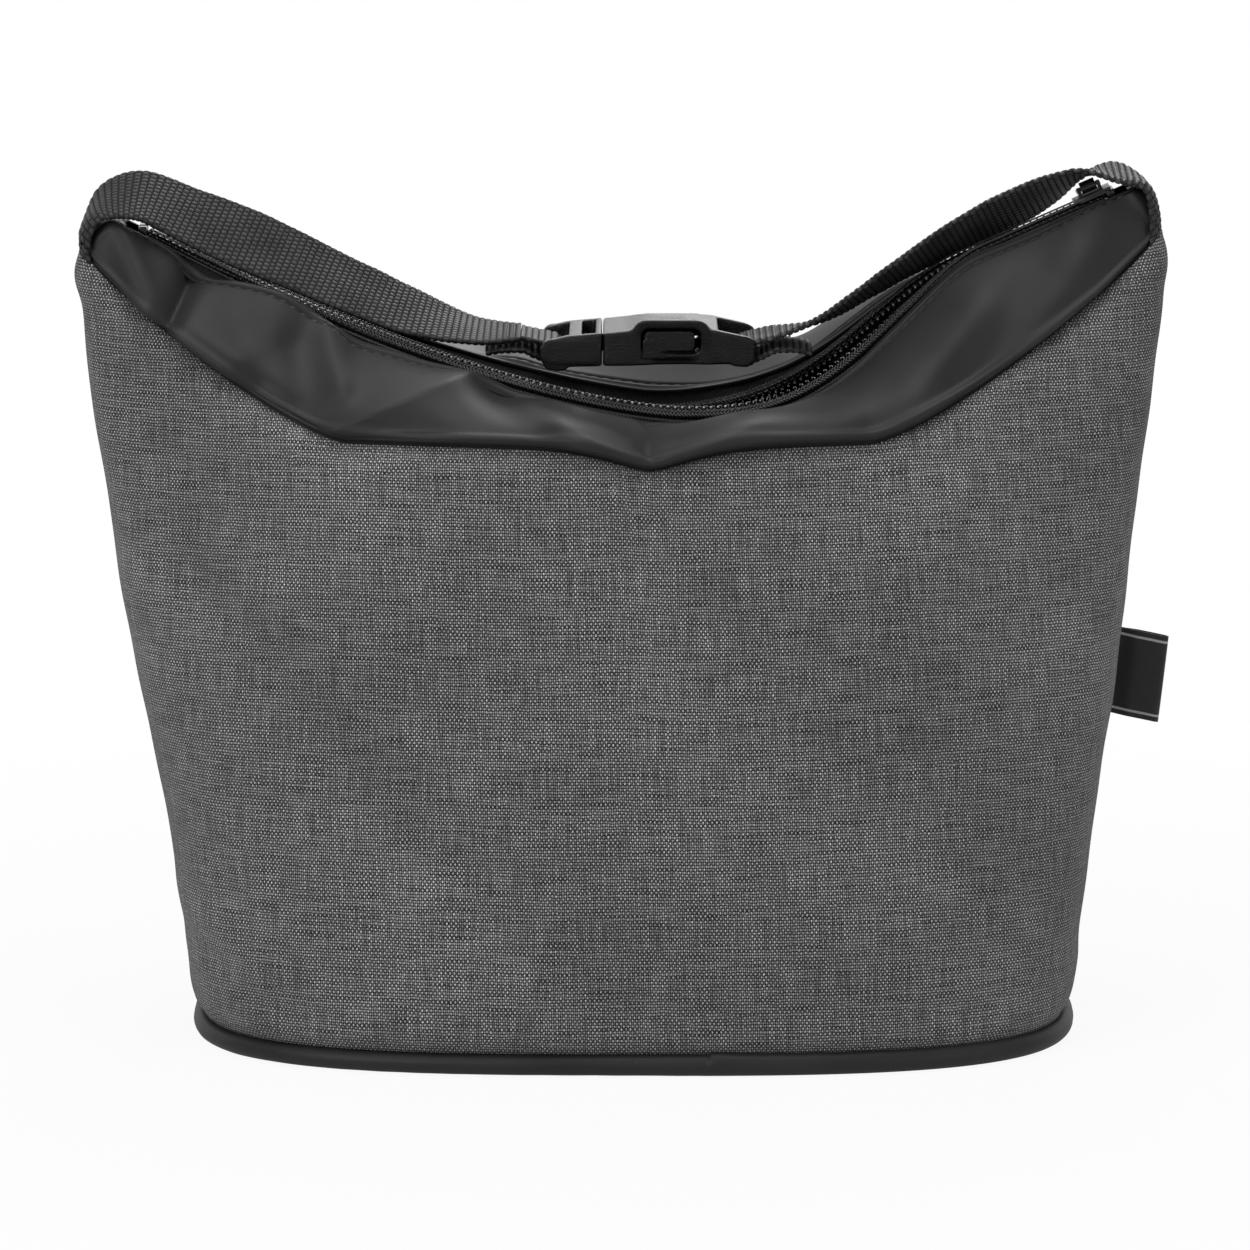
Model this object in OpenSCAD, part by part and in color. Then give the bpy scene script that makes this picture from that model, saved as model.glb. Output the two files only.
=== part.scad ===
// Soft insulated lunch bag: an oval base, two woven wall panels that close to a
// sagging zipped mouth between two raised ears, and a webbing handle that clips
// together over the mouth with a side-release buckle.
// +X runs to the right ear, -Y is the front, +Z is up. The origin is the middle
// of the base panel's underside.

/* [Base] */
// Length of the base over the wall fabric
base_length = 201; // [180:1:220]
// Depth of the base over the wall fabric
base_depth = 122; // [105:1:130]
// How square the oval of the base is, 2 being a true ellipse
base_squareness = 3.1; // [2.3:0.1:3.6]
// Radius of the piping round the base
piping_radius = 2.3; // [1.8:0.1:2.6]

/* [Walls] */
// Distance between the tips of the two ears
top_length = 249; // [235:1:255]
// Offset of the ears' middle from the base's middle
top_shift = -2.8; // [-5:0.1:5]
// Height of the wall seam at the left ear
left_ear_height = 181; // [176:1:186]
// Height of the wall seam at the right ear
right_ear_height = 185; // [180:1:190]
// Width of the blunt end of each ear, held open by the strap sewn in it
ear_width = 22; // [21:0.5:25]
// Distance from front to back between the wall seams at the middle
seam_depth = 84; // [78:1:90]
// Height of the front wall seam at the middle
front_seam_height = 140; // [136:1:142]
// Height of the back wall seam at the middle
back_seam_height = 146; // [143:1:149]
// Distance from the middle at which the wall seam starts to climb to the left ear
left_climb = 62; // [56:1:68]
// Distance from the middle at which the wall seam starts to climb to the right ear
right_climb = 56; // [50:1:62]
// How far the front seam dips in its small notch at the middle
notch_depth = 5; // [0:0.5:6]
// Sideways bulge of the filled walls
belly = 1.2; // [0:0.2:3]

/* [Layers] */
// Thickness of the woven outer fabric
fabric_thickness = 0.8; // [0.6:0.1:1]
// Thickness of the insulating foam
foam_thickness = 3; // [2:0.1:3.5]
// Thickness of the foil lining
lining_thickness = 0.4; // [0.3:0.05:0.5]
// Thickness of the stiff board in the base
board_thickness = 1; // [0.8:0.1:1.5]
// Gap left between neighbouring layers
layer_gap = 0.1; // [0.05:0.01:0.15]

/* [Zip] */
// Height of the zip's lowest point
mouth_height = 144.4; // [143:0.2:146]
// Half the width of the open mouth at the middle
mouth_half_width = 11; // [9:0.5:13]
// How far the back half of the mouth stands higher at its peak
back_peak_height = 4.2; // [2:0.1:6]
// Place of that peak from left to right
back_peak_x = 52; // [46:1:52]
// How far the back coil hangs below the front one at the middle of the mouth
back_coil_drop = 4.5; // [0:0.5:6]
// Width of one row of zip coil
coil_width = 3; // [2.6:0.1:3.2]
// Height of the zip coil
coil_height = 2; // [1.8:0.1:2.2]
// Gap between the two rows of coil beside the slider
coil_gap = 1.4; // [1.2:0.1:1.8]
// Thickness of the zip tape
tape_thickness = 0.5; // [0.4:0.05:0.6]
// Width of bare tape that shows between the coil and the yoke
tape_show = 4.2; // [3.8:0.1:5]
// Length of the slider
slider_length = 9; // [8:0.5:10]
// Travel of the slider along the straight end of the zip
slider_travel = 18; // [14:1:20]
// Length of the pull tab
pull_length = 22; // [18:1:26]

/* [Handle] */
// Width of the webbing
webbing_width = 20; // [18:0.5:20]
// Thickness of the webbing
webbing_thickness = 1.3; // [1:0.1:1.6]
// Height of the left strap's crest above its ear
left_crest = 10.5; // [8:0.5:12]
// Height of the right strap's crest above its ear
right_crest = 12; // [11:0.5:14]
// Clearance round the strap ends where they pass between wall and yoke
strap_clearance = 0.7; // [0.4:0.05:0.8]

/* [Buckle] */
// Height of the buckle's middle above the base
buckle_height = 158; // [156:0.5:162]
// Place of the buckle's mouth from left to right
buckle_x = -7; // [-12:0.5:-2]
// Width of the buckle
buckle_width = 28; // [27:0.5:30]
// Length of the socket half
socket_length = 36; // [34:0.5:40]
// Length of the plug's frame outside the socket
plug_length = 14.3; // [13.5:0.1:16]
// Wall thickness of the socket
socket_wall = 1.4; // [1.1:0.1:1.6]
// Clearance between the plug's parts and the socket
buckle_clearance = 0.3; // [0.2:0.05:0.4]
// Length of the plug's two spring arms
arm_length = 20; // [18.5:0.5:21]

/* [Label] */
// Height of the folded side label
label_height = 20; // [15:1:25]
// How far the side label stands out of the seam
label_reach = 11.5; // [8:0.5:14]
// Height of the label's middle above the base
label_z = 82; // [60:1:110]

/* [Hidden] */

front = 0;
back = 1;
around_steps = 30;          // steps from the left ear to the right ear
wall_rows = 8;              // steps up a wall
yoke_rows = 5;              // steps across a yoke
ring_sides = 8;             // sides of the piping's round section
half_top = top_length / 2;
notch_x = 3.7;              // the notch lies a little right of the middle
notch_width = 13;
piping_z = piping_radius + 0.3;
piping_inset = piping_radius - 1.1;        // the piping stands just proud of the wall
wall_foot = piping_z + piping_radius + 0.2;
stack_inset = piping_inset + piping_radius + 0.15;
foam_in = fabric_thickness + layer_gap;
lining_in = foam_in + foam_thickness + layer_gap;
binding_in = lining_in + lining_thickness + layer_gap + 0.25;
binding_thickness = 1;
fabric_grey = "#57585a";
coated_black = "#2a2a2b";
webbing_black = "#232324";
foil_silver = "#c9ccd0";
foam_white = "#e8e6e0";

// ---- small helpers ----
function mix(a, b, t) = a * (1 - t) + b * t;
function bump(q) = pow(max(0, 1 - q * q), 1.5);
function signed_power(c, p) = sign(c) * pow(abs(c), p);
function bezier(p, t) = len(p) == 1 ? p[0]
    : bezier([for (i = [0:len(p) - 2]) mix(p[i], p[i + 1], t)], t);
function unit(v) = v / max(norm(v), 1e-9);
function flip_y(p) = [p.x, -p.y, p.z];
function steps(n, low = 0, high = 1) = [for (i = [0:n]) mix(low, high, i / n)];

// A curve through control points of any length, by the Catmull-Rom rule
function knot(p, i) = p[max(0, min(len(p) - 1, i))];
function through(p, t) = let (
        i = min(len(p) - 2, floor(t)), f = t - i,
        a = knot(p, i - 1), b = knot(p, i), c = knot(p, i + 1), d = knot(p, i + 2))
    (b * 2 + (c - a) * f + (a * 2 - b * 5 + c * 4 - d) * f * f
        + (b * 3 - a - c * 3 + d) * f * f * f) / 2;
function spline(p, n) = [for (i = [0:n]) through(p, i * (len(p) - 1) / n)];

// ---- the bag's skin, drawn for the front and mirrored for the back ----
// "turn" runs from 0 degrees at the left ear to 180 degrees at the right ear.
function turns(low = 0, high = 180, n = around_steps) = steps(n, low, high);

function base_point(turn, inset = 0) = [
    -(base_length / 2 - inset) * signed_power(cos(turn), 2 / base_squareness),
    -(base_depth / 2 - inset) * pow(abs(sin(turn)), 2 / base_squareness) * sign(sin(turn))];

function climb(x, start) = pow(max(0, abs(x - top_shift) - start) / (half_top - start), 1.35);
function seam_height(x, side) = let (
        middle = side == front ? front_seam_height : back_seam_height,
        notch = side == front ? notch_depth * exp(-pow((x - notch_x) / notch_width, 2)) : 0)
    middle - notch + (x < top_shift
        ? (left_ear_height - middle) * climb(x, left_climb)
        : (right_ear_height - middle) * climb(x, right_climb));

// Half the depth of the seam's outline: a blunt end at each ear, swelling to the middle
function seam_reach(turn) = let (s = abs(sin(turn)))
    ear_width / 2 * (1 - exp(-12 * s)) + (seam_depth - ear_width) / 2 * pow(s, 2.5);
function seam_point(turn, side) = let (x = top_shift - half_top * cos(turn))
    [x, -sign(sin(turn)) * seam_reach(turn), seam_height(x, side)];

function wall_point(v, turn, side) = let (b = base_point(turn), c = seam_point(turn, side))
    [mix(b.x, c.x, v) - belly * cos(turn) * sin(180 * v),
        mix(b.y, c.y, pow(v, 1.6)) - belly * sin(turn) * sin(180 * v),
        mix(wall_foot, c.z, v)];

// The zip: a sagging curve from the left ear, then a straight end for the slider
zip_middle_x = top_shift + 1.3;
zip_half_length = half_top - 10;
zip_low_x = zip_middle_x + 13;
zip_slope = 0.44;
slider_margin = 4;          // straight zip left on either side of the slider's travel
slider_end = 8;             // from the zip's right end to the middle of the closed slider
zip_straight = slider_end + slider_travel + slider_length / 2 + slider_margin;
zip_straight_x = zip_middle_x + zip_half_length - zip_straight;
zip_left_x = zip_middle_x - zip_half_length;
zip_right_x = zip_middle_x + zip_half_length;
zip_right_z = right_ear_height + 9.3;
zip_left_rise = left_ear_height + 5 - mouth_height;
zip_straight_z = zip_right_z - zip_slope * (zip_right_x - zip_straight_x);
zip_half_gap = (coil_gap + coil_width) / 2;

function zip_sag(f) = let (span = zip_straight_x - zip_low_x)
    (zip_straight_z - mouth_height) * (3 * f * f - 2 * f * f * f)
    + zip_slope * span / 1.5 * (f * f * f - f * f);
function zip_height(x) = x < zip_low_x
    ? mouth_height + zip_left_rise * pow((zip_low_x - x) / (zip_low_x - zip_left_x), 1.5)
    : x < zip_straight_x
    ? mouth_height + zip_sag(pow((x - zip_low_x) / (zip_straight_x - zip_low_x), 1.5))
    : zip_straight_z + zip_slope * (x - zip_straight_x);
function zip_open(x) = x < zip_low_x
    ? bump((zip_low_x - x) / (zip_low_x - zip_left_x - 8))
    : bump(min(1, (x - zip_low_x) / (zip_straight_x - zip_low_x)));
function zip_depth(x) = zip_half_gap + (mouth_half_width - zip_half_gap) * zip_open(x);

function zip_x(turn) = zip_middle_x - zip_half_length * cos(turn);
function back_peak(x) = back_peak_height * bump((x - back_peak_x) / (x < back_peak_x ? 50 : 26));
function coil_drop(x) = back_coil_drop * zip_open(x);
function coil_point(turn, side) = let (x = zip_x(turn))
    [x, -zip_depth(x), zip_height(x) + (side == back ? back_peak(x) - coil_drop(x) : 0)];
function fold_point(turn, side) = let (x = zip_x(turn))
    [x, -(zip_depth(x) + tape_show) * pow(abs(sin(turn)), 0.07),
        zip_height(x) - 0.3 + (side == front ? -2.9 * zip_open(x) : back_peak(x))];

// At each ear the yoke's edge steps in behind the wall to let the strap end between them
strap_slot = webbing_thickness + 2 * strap_clearance + fabric_thickness;
function step_in(y) = strap_slot * bump(max(0, abs(y) - webbing_width / 2 + 1) / 8);
function yoke_edge(turn, side) = let (
        p = seam_point(turn, side),
        run = seam_point(turn + 0.5, side) - seam_point(turn - 0.5, side))
    p + step_in(p.y) * unit([-run.y, run.x, 0]);

// The yoke rolls over the seam and runs in to the fold beside the zip
ridge_rise = [7, 17];
function yoke_point(v, turn, side) = let (
        c = yoke_edge(turn, side), e = fold_point(turn, side), lift = pow(sin(turn), 0.7))
    bezier([c, c + [0, -1.5 * lift, ridge_rise[side] * lift],
        e + (c - e) * 0.33 + [0, -1 * lift, 3 * lift], e], v);

// Grids of points, and the same grids moved inwards along their own normals
function wall_grid(side, low = 0, high = 1 - 0.003, rows = wall_rows,
        from = 0, to = 180, n = around_steps) =
    [for (v = steps(rows, low, high)) [for (t = turns(from, to, n)) wall_point(v, t, side)]];
function yoke_grid(side, low = 0, high = 1, rows = yoke_rows) =
    [for (v = steps(rows, low, high)) [for (t = turns()) yoke_point(v, t, side)]];
function grid_normal(g, i, j) = let (
        last = len(g[0]) - 1,
        left = j > 0 ? g[i][j - 1] : abs(g[i][0].y) < 0.01 ? flip_y(g[i][1]) : g[i][0],
        right = j < last ? g[i][j + 1]
            : abs(g[i][last].y) < 0.01 ? flip_y(g[i][last - 1]) : g[i][last],
        low = g[max(0, i - 1)][j], high = g[min(len(g) - 1, i + 1)][j])
    unit(cross(right - left, high - low));
function inside(g, depth) = [for (i = [0:len(g) - 1])
    [for (j = [0:len(g[0]) - 1]) g[i][j] - depth * grid_normal(g, i, j)]];

// ---- solids from grids and rings ----
function two_triangles(a, b, c, d) = [[a, b, c], [a, c, d]];
function flat_list(nested) = [for (part = nested) each part];

// A closed sheet between an outer and an inner grid of points
module sheet(outer, inner) {
    rows = len(outer);
    cols = len(outer[0]);
    n = rows * cols;
    faces = flat_list(concat(
        [for (i = [0:rows - 2], j = [0:cols - 2]) let (a = i * cols + j)
            two_triangles(a, a + cols, a + cols + 1, a + 1)],
        [for (i = [0:rows - 2], j = [0:cols - 2]) let (a = n + i * cols + j)
            two_triangles(a, a + 1, a + cols + 1, a + cols)],
        [for (j = [0:cols - 2]) two_triangles(j, j + 1, n + j + 1, n + j)],
        [for (j = [0:cols - 2]) let (a = (rows - 1) * cols + j)
            two_triangles(a, n + a, n + a + 1, a + 1)],
        [for (i = [0:rows - 2]) let (a = i * cols)
            two_triangles(a, n + a, n + a + cols, a + cols)],
        [for (i = [0:rows - 2]) let (a = i * cols + cols - 1)
            two_triangles(a, a + cols, n + a + cols, n + a)]));
    polyhedron(concat(flat_list(outer), flat_list(inner)), faces);
}

// A solid through a list of rings, capped at both ends or closed on itself
module skin(rings, closed = false) {
    count = len(rings);
    sides = len(rings[0]);
    last = closed ? count - 1 : count - 2;
    faces = concat(
        flat_list([for (i = [0:last], j = [0:sides - 1]) let (
                a = i * sides, b = ((i + 1) % count) * sides, k = (j + 1) % sides)
            two_triangles(a + j, a + k, b + k, b + j)]),
        closed ? [] : [[for (j = [sides - 1:-1:0]) j],
            [for (j = [0:sides - 1]) (count - 1) * sides + j]]);
    polyhedron(flat_list(rings), faces);
}

module mirrored_for(side) {
    if (side == back) mirror([0, 1, 0]) children();
    else children();
}

// A layer of a wall or of a yoke, between two depths under the outer surface
module wall_layer(side, depth, thickness, low = 0, high = 1 - 0.003) {
    g = wall_grid(side, low, high);
    mirrored_for(side) sheet(inside(g, depth), inside(g, depth + thickness));
}
module yoke_layer(side, depth, thickness, low = 0, high = 1) {
    g = yoke_grid(side, low, high);
    mirrored_for(side) sheet(inside(g, depth), inside(g, depth + thickness));
}

// ---- walls, yokes and linings ----
module front_panel() { color(fabric_grey) wall_layer(front, 0, fabric_thickness); }
module back_panel() { color(fabric_grey) wall_layer(back, 0, fabric_thickness); }
module front_yoke() { color(coated_black) yoke_layer(front, 0, fabric_thickness); }
module back_yoke() { color(coated_black) yoke_layer(back, 0, fabric_thickness); }
module front_foam() { color(foam_white) wall_layer(front, foam_in, foam_thickness, 0.004, 0.96); }
module back_foam() { color(foam_white) wall_layer(back, foam_in, foam_thickness, 0.004, 0.96); }
module front_lining() {
    color(foil_silver) wall_layer(front, lining_in, lining_thickness, 0.006, 0.96);
}
module back_lining() {
    color(foil_silver) wall_layer(back, lining_in, lining_thickness, 0.006, 0.96);
}
yoke_lining_in = fabric_thickness + tape_thickness + 4 * layer_gap;
module front_yoke_lining() {
    color(foil_silver) yoke_layer(front, yoke_lining_in, lining_thickness, 0.06, 0.85);
}
module back_yoke_lining() {
    color(foil_silver) yoke_layer(back, yoke_lining_in, lining_thickness, 0.06, 0.85);
}

// ---- base ----
module base_outline(inset) {
    polygon([for (t = [0:5:355]) base_point(t, inset)]);
}
module base_layer(low, thickness) {
    translate([0, 0, low]) linear_extrude(thickness) base_outline(stack_inset);
}
base_foam_z = fabric_thickness + layer_gap;
base_board_z = base_foam_z + foam_thickness + layer_gap;
base_lining_z = base_board_z + board_thickness + layer_gap;
module base_panel() { color(coated_black) base_layer(0, fabric_thickness); }
module base_foam() { color(foam_white) base_layer(base_foam_z, foam_thickness); }
module base_board() { color("#3a3a3c") base_layer(base_board_z, board_thickness); }
module base_lining() { color(foil_silver) base_layer(base_lining_z, lining_thickness); }

module base_piping() {
    color(coated_black) skin([for (t = [0:5:355])
        let (p = base_point(t, piping_inset), q = base_point(t + 1, piping_inset),
            along = unit([q.x - p.x, q.y - p.y, 0]), out = cross(along, [0, 0, -1]))
        [for (k = [0:ring_sides - 1]) let (a = 360 * (k + 0.5) / ring_sides)
            [p.x, p.y, piping_z]
            + piping_radius * (cos(a) * out + [0, 0, sin(a)])]], closed = true);
}

// Woven tape folded over the raw edges of the seams inside
module binding_half(side, low, high, rows, from, to, n = around_steps) {
    g = wall_grid(side, low, high, rows, from, to, n);
    mirrored_for(side) sheet(inside(g, binding_in), inside(g, binding_in + binding_thickness));
}
module base_seam_binding() {
    color(webbing_black) for (side = [front, back]) binding_half(side, 0.025, 0.065, 1, 0, 180);
}
module side_seam_bindings() {
    step = 180 / around_steps;
    color(webbing_black) for (side = [front, back], start = [0, 180 - step])
        binding_half(side, 0.08, 0.95, wall_rows, start, start + step, 1);
}

// ---- zip ----
zip_start = 3;              // columns of the yoke's grid between an ear and the zip's end
zip_columns = [zip_start:around_steps - zip_start];
function column_turn(j) = 180 * j / around_steps;
function coil_side(j, side, out) = coil_point(column_turn(j), side) - [0, out, 0];
module zip_tape(side) {
    under = inside(yoke_grid(side), fabric_thickness + 2 * layer_gap);
    edge = coil_width / 2 + layer_gap;
    upper = [
        [for (j = zip_columns) mix(under[yoke_rows - 1][j], under[yoke_rows][j], 0.4)],
        [for (j = zip_columns) under[yoke_rows][j]],
        [for (j = zip_columns) coil_side(j, side, edge + 1)],
        [for (j = zip_columns) coil_side(j, side, edge)]];
    mirrored_for(side) sheet(upper, inside(upper, tape_thickness));
}
module front_zip_tape() { color(webbing_black) zip_tape(front); }
module back_zip_tape() { color(webbing_black) zip_tape(back); }

coil_section = [[-0.5, -0.1], [-0.35, -0.45], [0.35, -0.5], [0.5, 0], [0.35, 0.5], [-0.35, 0.45]];
module zip_coil(side) {
    mirrored_for(side) skin([for (j = zip_columns)
        [for (s = coil_section)
            coil_side(j, side, s[0] * coil_width) + [0, 0, s[1] * coil_height]]]);
}
module front_zip_coil() { color("#151516") zip_coil(front); }
module back_zip_coil() { color("#151516") zip_coil(back); }

// Things on the straight end of the zip, in a frame that runs along it
zip_angle = atan(zip_slope);
slider_rest_x = zip_right_x - slider_end;
module on_zip(x) {
    translate([x, 0, zip_height(x)]) rotate([0, -zip_angle, 0]) children();
}
stop_length = 2;
module zip_stops() {
    stop_x = zip_x(column_turn(around_steps - zip_start)) + 1.3;
    left_x = zip_x(column_turn(zip_start)) - 1.3;
    color("#151516") {
        on_zip(stop_x) cube([stop_length, 2 * zip_half_gap + coil_width, coil_height], center = true);
        for (y = [-1, 1]) translate([left_x, y * zip_half_gap, zip_height(left_x)])
            cube([stop_length, coil_width, coil_height], center = true);
    }
}

plate_thickness = 0.6;
plate_gap = coil_height / 2 + 0.2;
slider_half_width = zip_half_gap + coil_width / 2 + 0.25;
flange = 0.45;
flange_slot = 0.85;         // half height of the slot that the tape runs in
bridge_length = slider_length * 0.62;
bridge_foot = 0.8;
bridge_width = 1.6;
bridge_bar_radius = 0.4;
pull_clearance = 0.2;
eye_wall = 0.8;             // metal round the bore of the pull's eye
eye_radius = bridge_bar_radius + pull_clearance + eye_wall;
bridge_bar_z = plate_gap + plate_thickness + pull_clearance + eye_radius;
module slider_plate() {
    nose = slider_length * 0.3;
    w = slider_half_width + flange;
    linear_extrude(plate_thickness) polygon([[-slider_length / 2, -w * 0.8],
        [-slider_length / 2 + nose, -w], [slider_length / 2, -w * 0.86],
        [slider_length / 2, w * 0.86], [-slider_length / 2 + nose, w],
        [-slider_length / 2, w * 0.8]]);
}
module slider_flanges() {
    for (y = [-1, 1], z = [0, 1]) mirror([0, 0, z])
        translate([-slider_length * 0.35, y > 0 ? slider_half_width : -slider_half_width - flange,
            flange_slot])
            cube([slider_length * 0.7, flange, plate_gap - flange_slot + 0.1]);
}
module zip_slider() {
    top = plate_gap + plate_thickness;
    color("#161617") on_zip(slider_rest_x) union() {
        translate([0, 0, plate_gap]) slider_plate();
        translate([0, 0, -top]) slider_plate();
        slider_flanges();
        translate([-slider_length / 2 + 0.6, -(coil_gap - 0.5) / 2, -plate_gap - 0.1])
            cube([3, coil_gap - 0.5, 2 * plate_gap + 0.2]);
        for (x = [-bridge_length / 2, bridge_length / 2 - bridge_foot])
            translate([x, -bridge_width / 2, top - 0.1])
                cube([bridge_foot, bridge_width, bridge_bar_z - top + bridge_bar_radius + 0.1]);
        translate([-bridge_length / 2 + 0.1, 0, bridge_bar_z]) rotate([0, 90, 0])
            cylinder(r = bridge_bar_radius, h = bridge_length - 0.2, $fn = 32);
    }
}

// The pull's eye turns on the bridge's bar, and its tab lies over the back yoke
pull_lean = 10;             // degrees below level at which it rests on the slider's edge
pull_thickness = 0.9;
pull_width = 6;
eye_length = bridge_length - 2 * bridge_foot - 2 * pull_clearance;
module zip_pull() {
    neck = eye_length / 2 - 0.3;
    side = pull_width / 2;
    color("#161617") on_zip(slider_rest_x) translate([0, 0, bridge_bar_z])
        rotate([-pull_lean, 0, 0]) difference() {
            union() {
                translate([-eye_length / 2, 0, 0]) rotate([0, 90, 0])
                    cylinder(r = eye_radius, h = eye_length, $fn = 40);
                translate([0, 0, -pull_thickness / 2]) linear_extrude(pull_thickness)
                    polygon([[-neck, 0], [neck, 0], [neck, 2], [side, 5],
                        [side - 0.6, pull_length - 2], [side - 1.8, pull_length - 0.4],
                        [0.6, pull_length], [-0.6, pull_length], [1.8 - side, pull_length - 0.4],
                        [0.6 - side, pull_length - 2], [-side, 5], [-neck, 2]]);
            }
            translate([-eye_length, 0, 0]) rotate([0, 90, 0])
                cylinder(r = bridge_bar_radius + pull_clearance, h = 2 * eye_length, $fn = 32);
        }
}

// ---- handle webbing ----
// A webbing path is a list of [x, y, z, tilt, cup]: tilt turns the webbing's width about
// its run, and cup bends its edges round the end of the ear where it is sewn in.
left_ear = [top_shift - half_top, 0, left_ear_height];
right_ear = [top_shift + half_top, 0, right_ear_height];
bar_drop = 1.4;             // the webbing bars sit below the buckle's middle
plug_bar_x = buckle_x - plug_length + 2.6;
socket_bar_x = buckle_x + socket_length - 3;
bar_z = buckle_height - bar_drop;
loop_length = 6.6;          // from a bar to where the sewn loop joins the strap
loop_rise = 3.6;            // height of that join above the bar
strap_in = fabric_thickness + strap_clearance + webbing_thickness / 2;
sewn_in = 2.5;              // depth of the strap ends behind the walls
ear_cup = 2.4;              // how far the strap's edges bend back round the ear's end
left_top = [left_ear.x + 15.5, 0, left_ear.z + left_crest, 27, 0];
right_top = [right_ear.x - 12, 0, right_ear.z + right_crest, 6, 0];
plug_entry = [plug_bar_x - loop_length - 0.4, 0, bar_z + loop_rise, 2, 0];
socket_entry = [socket_bar_x + loop_length + 0.1, 0, bar_z + loop_rise, -1, 0];
function between(a, b, f, rise, tilt) = let (p = mix(a, b, f)) [p.x, p.y, p.z + rise, tilt, 0];
left_path = [
    [left_ear.x + strap_in, 0, left_ear.z - sewn_in, 0, ear_cup],
    [left_ear.x + strap_in - 0.1, 0, left_ear.z + 3.5, 2, ear_cup * 0.85],
    [left_ear.x + 6, 0, left_top.z - 1, 17, ear_cup * 0.3],
    left_top,
    between(left_top, plug_entry, 0.14, -0.6, 34),
    between(left_top, plug_entry, 0.28, -1.4, 38),
    between(left_top, plug_entry, 0.44, -2.4, 34),
    between(left_top, plug_entry, 0.68, -4.3, 26),
    between(left_top, plug_entry, 0.88, -3.2, 9),
    plug_entry];
right_path = [
    [right_ear.x - strap_in, 0, right_ear.z - sewn_in, 0, ear_cup],
    [right_ear.x - strap_in - 0.5, 0, right_ear.z + 3.5, 0, ear_cup * 0.85],
    [right_ear.x - 5.4, 0, right_top.z - 2.2, 0, ear_cup * 0.3],
    right_top,
    between(right_top, socket_entry, 0.1, 3.2, -12),
    between(right_top, socket_entry, 0.19, 3.2, -27),
    between(right_top, socket_entry, 0.33, 2.7, -34),
    between(right_top, socket_entry, 0.46, 2.4, -30),
    between(right_top, socket_entry, 0.63, 0.9, -22),
    between(right_top, socket_entry, 0.86, -1.8, -11),
    socket_entry];
left_root_end = 5.5;        // place along each path where its root gives way to its run
right_root_end = 8.3;
function webbing_ring(path, t, sense) = let (
        p = through(path, t),
        step = through(path, min(t + 0.02, len(path) - 1)) - through(path, max(t - 0.02, 0)),
        run = unit([step[0], step[1], step[2]]) * sense,
        level = unit(cross([0, 0, 1], run)),
        across = level * cos(p[3]) + [0, 0, 1] * sin(p[3]),
        w = unit(across - run * (across * run)), n = cross(run, w) * sense,
        c = [p[0], p[1], p[2]], b = n * webbing_thickness / 2,
        mid = [for (k = [-1, -0.8, -0.4, 0.4, 0.8, 1])
            c + w * k * webbing_width / 2 + [sense, 0, -1] * p[4] * pow(k, 6)])
    concat([for (m = mid) m - b], [for (k = [5:-1:0]) mid[k] + b]);
module webbing(path, low, high, rings, sense) {
    skin([for (t = steps(rings, low, high)) webbing_ring(path, t, sense)]);
}
module strap_left_root() { color(webbing_black) webbing(left_path, 0, left_root_end, 18, 1); }
module strap_left_run() {
    color(webbing_black) webbing(left_path, left_root_end + 0.01, len(left_path) - 1, 11, 1);
}
module strap_right_root() { color(webbing_black) webbing(right_path, 0, right_root_end, 20, -1); }
module strap_right_run() {
    color(webbing_black) webbing(right_path, right_root_end + 0.01, len(right_path) - 1, 8, -1);
}

// The loop of webbing sewn back on itself round a buckle bar, drawn for the plug
bar_radius = 1.3;
loop_radius = bar_radius + 0.1 + webbing_thickness / 2;
module webbing_loop() {
    tail = 8.2;
    high = loop_rise + webbing_thickness / 2;
    low = high - webbing_thickness - 0.9;
    rotate([90, 0, 0]) linear_extrude(webbing_width, center = true) difference() {
        union() {
            circle(r = loop_radius + webbing_thickness / 2, $fn = 40);
            polygon([[0, loop_radius + webbing_thickness / 2], [-loop_length, high],
                [-loop_length, high - webbing_thickness], [-loop_length - 0.5, low],
                [-loop_length - tail, low - 0.9], [-loop_length - tail, low - webbing_thickness - 0.9],
                [-loop_length - 0.5, low - webbing_thickness],
                [0, -loop_radius - webbing_thickness / 2]]);
        }
        circle(r = bar_radius + 0.1, $fn = 40);
        polygon([[0, loop_radius - webbing_thickness / 2], [-loop_length, low],
            [0, -loop_radius + webbing_thickness / 2]]);
    }
}
module strap_left_loop() {
    color(webbing_black) translate([plug_bar_x, 0, bar_z]) webbing_loop();
}
module strap_right_loop() {
    color(webbing_black) translate([socket_bar_x, 0, bar_z]) mirror([1, 0, 0]) webbing_loop();
}

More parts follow.
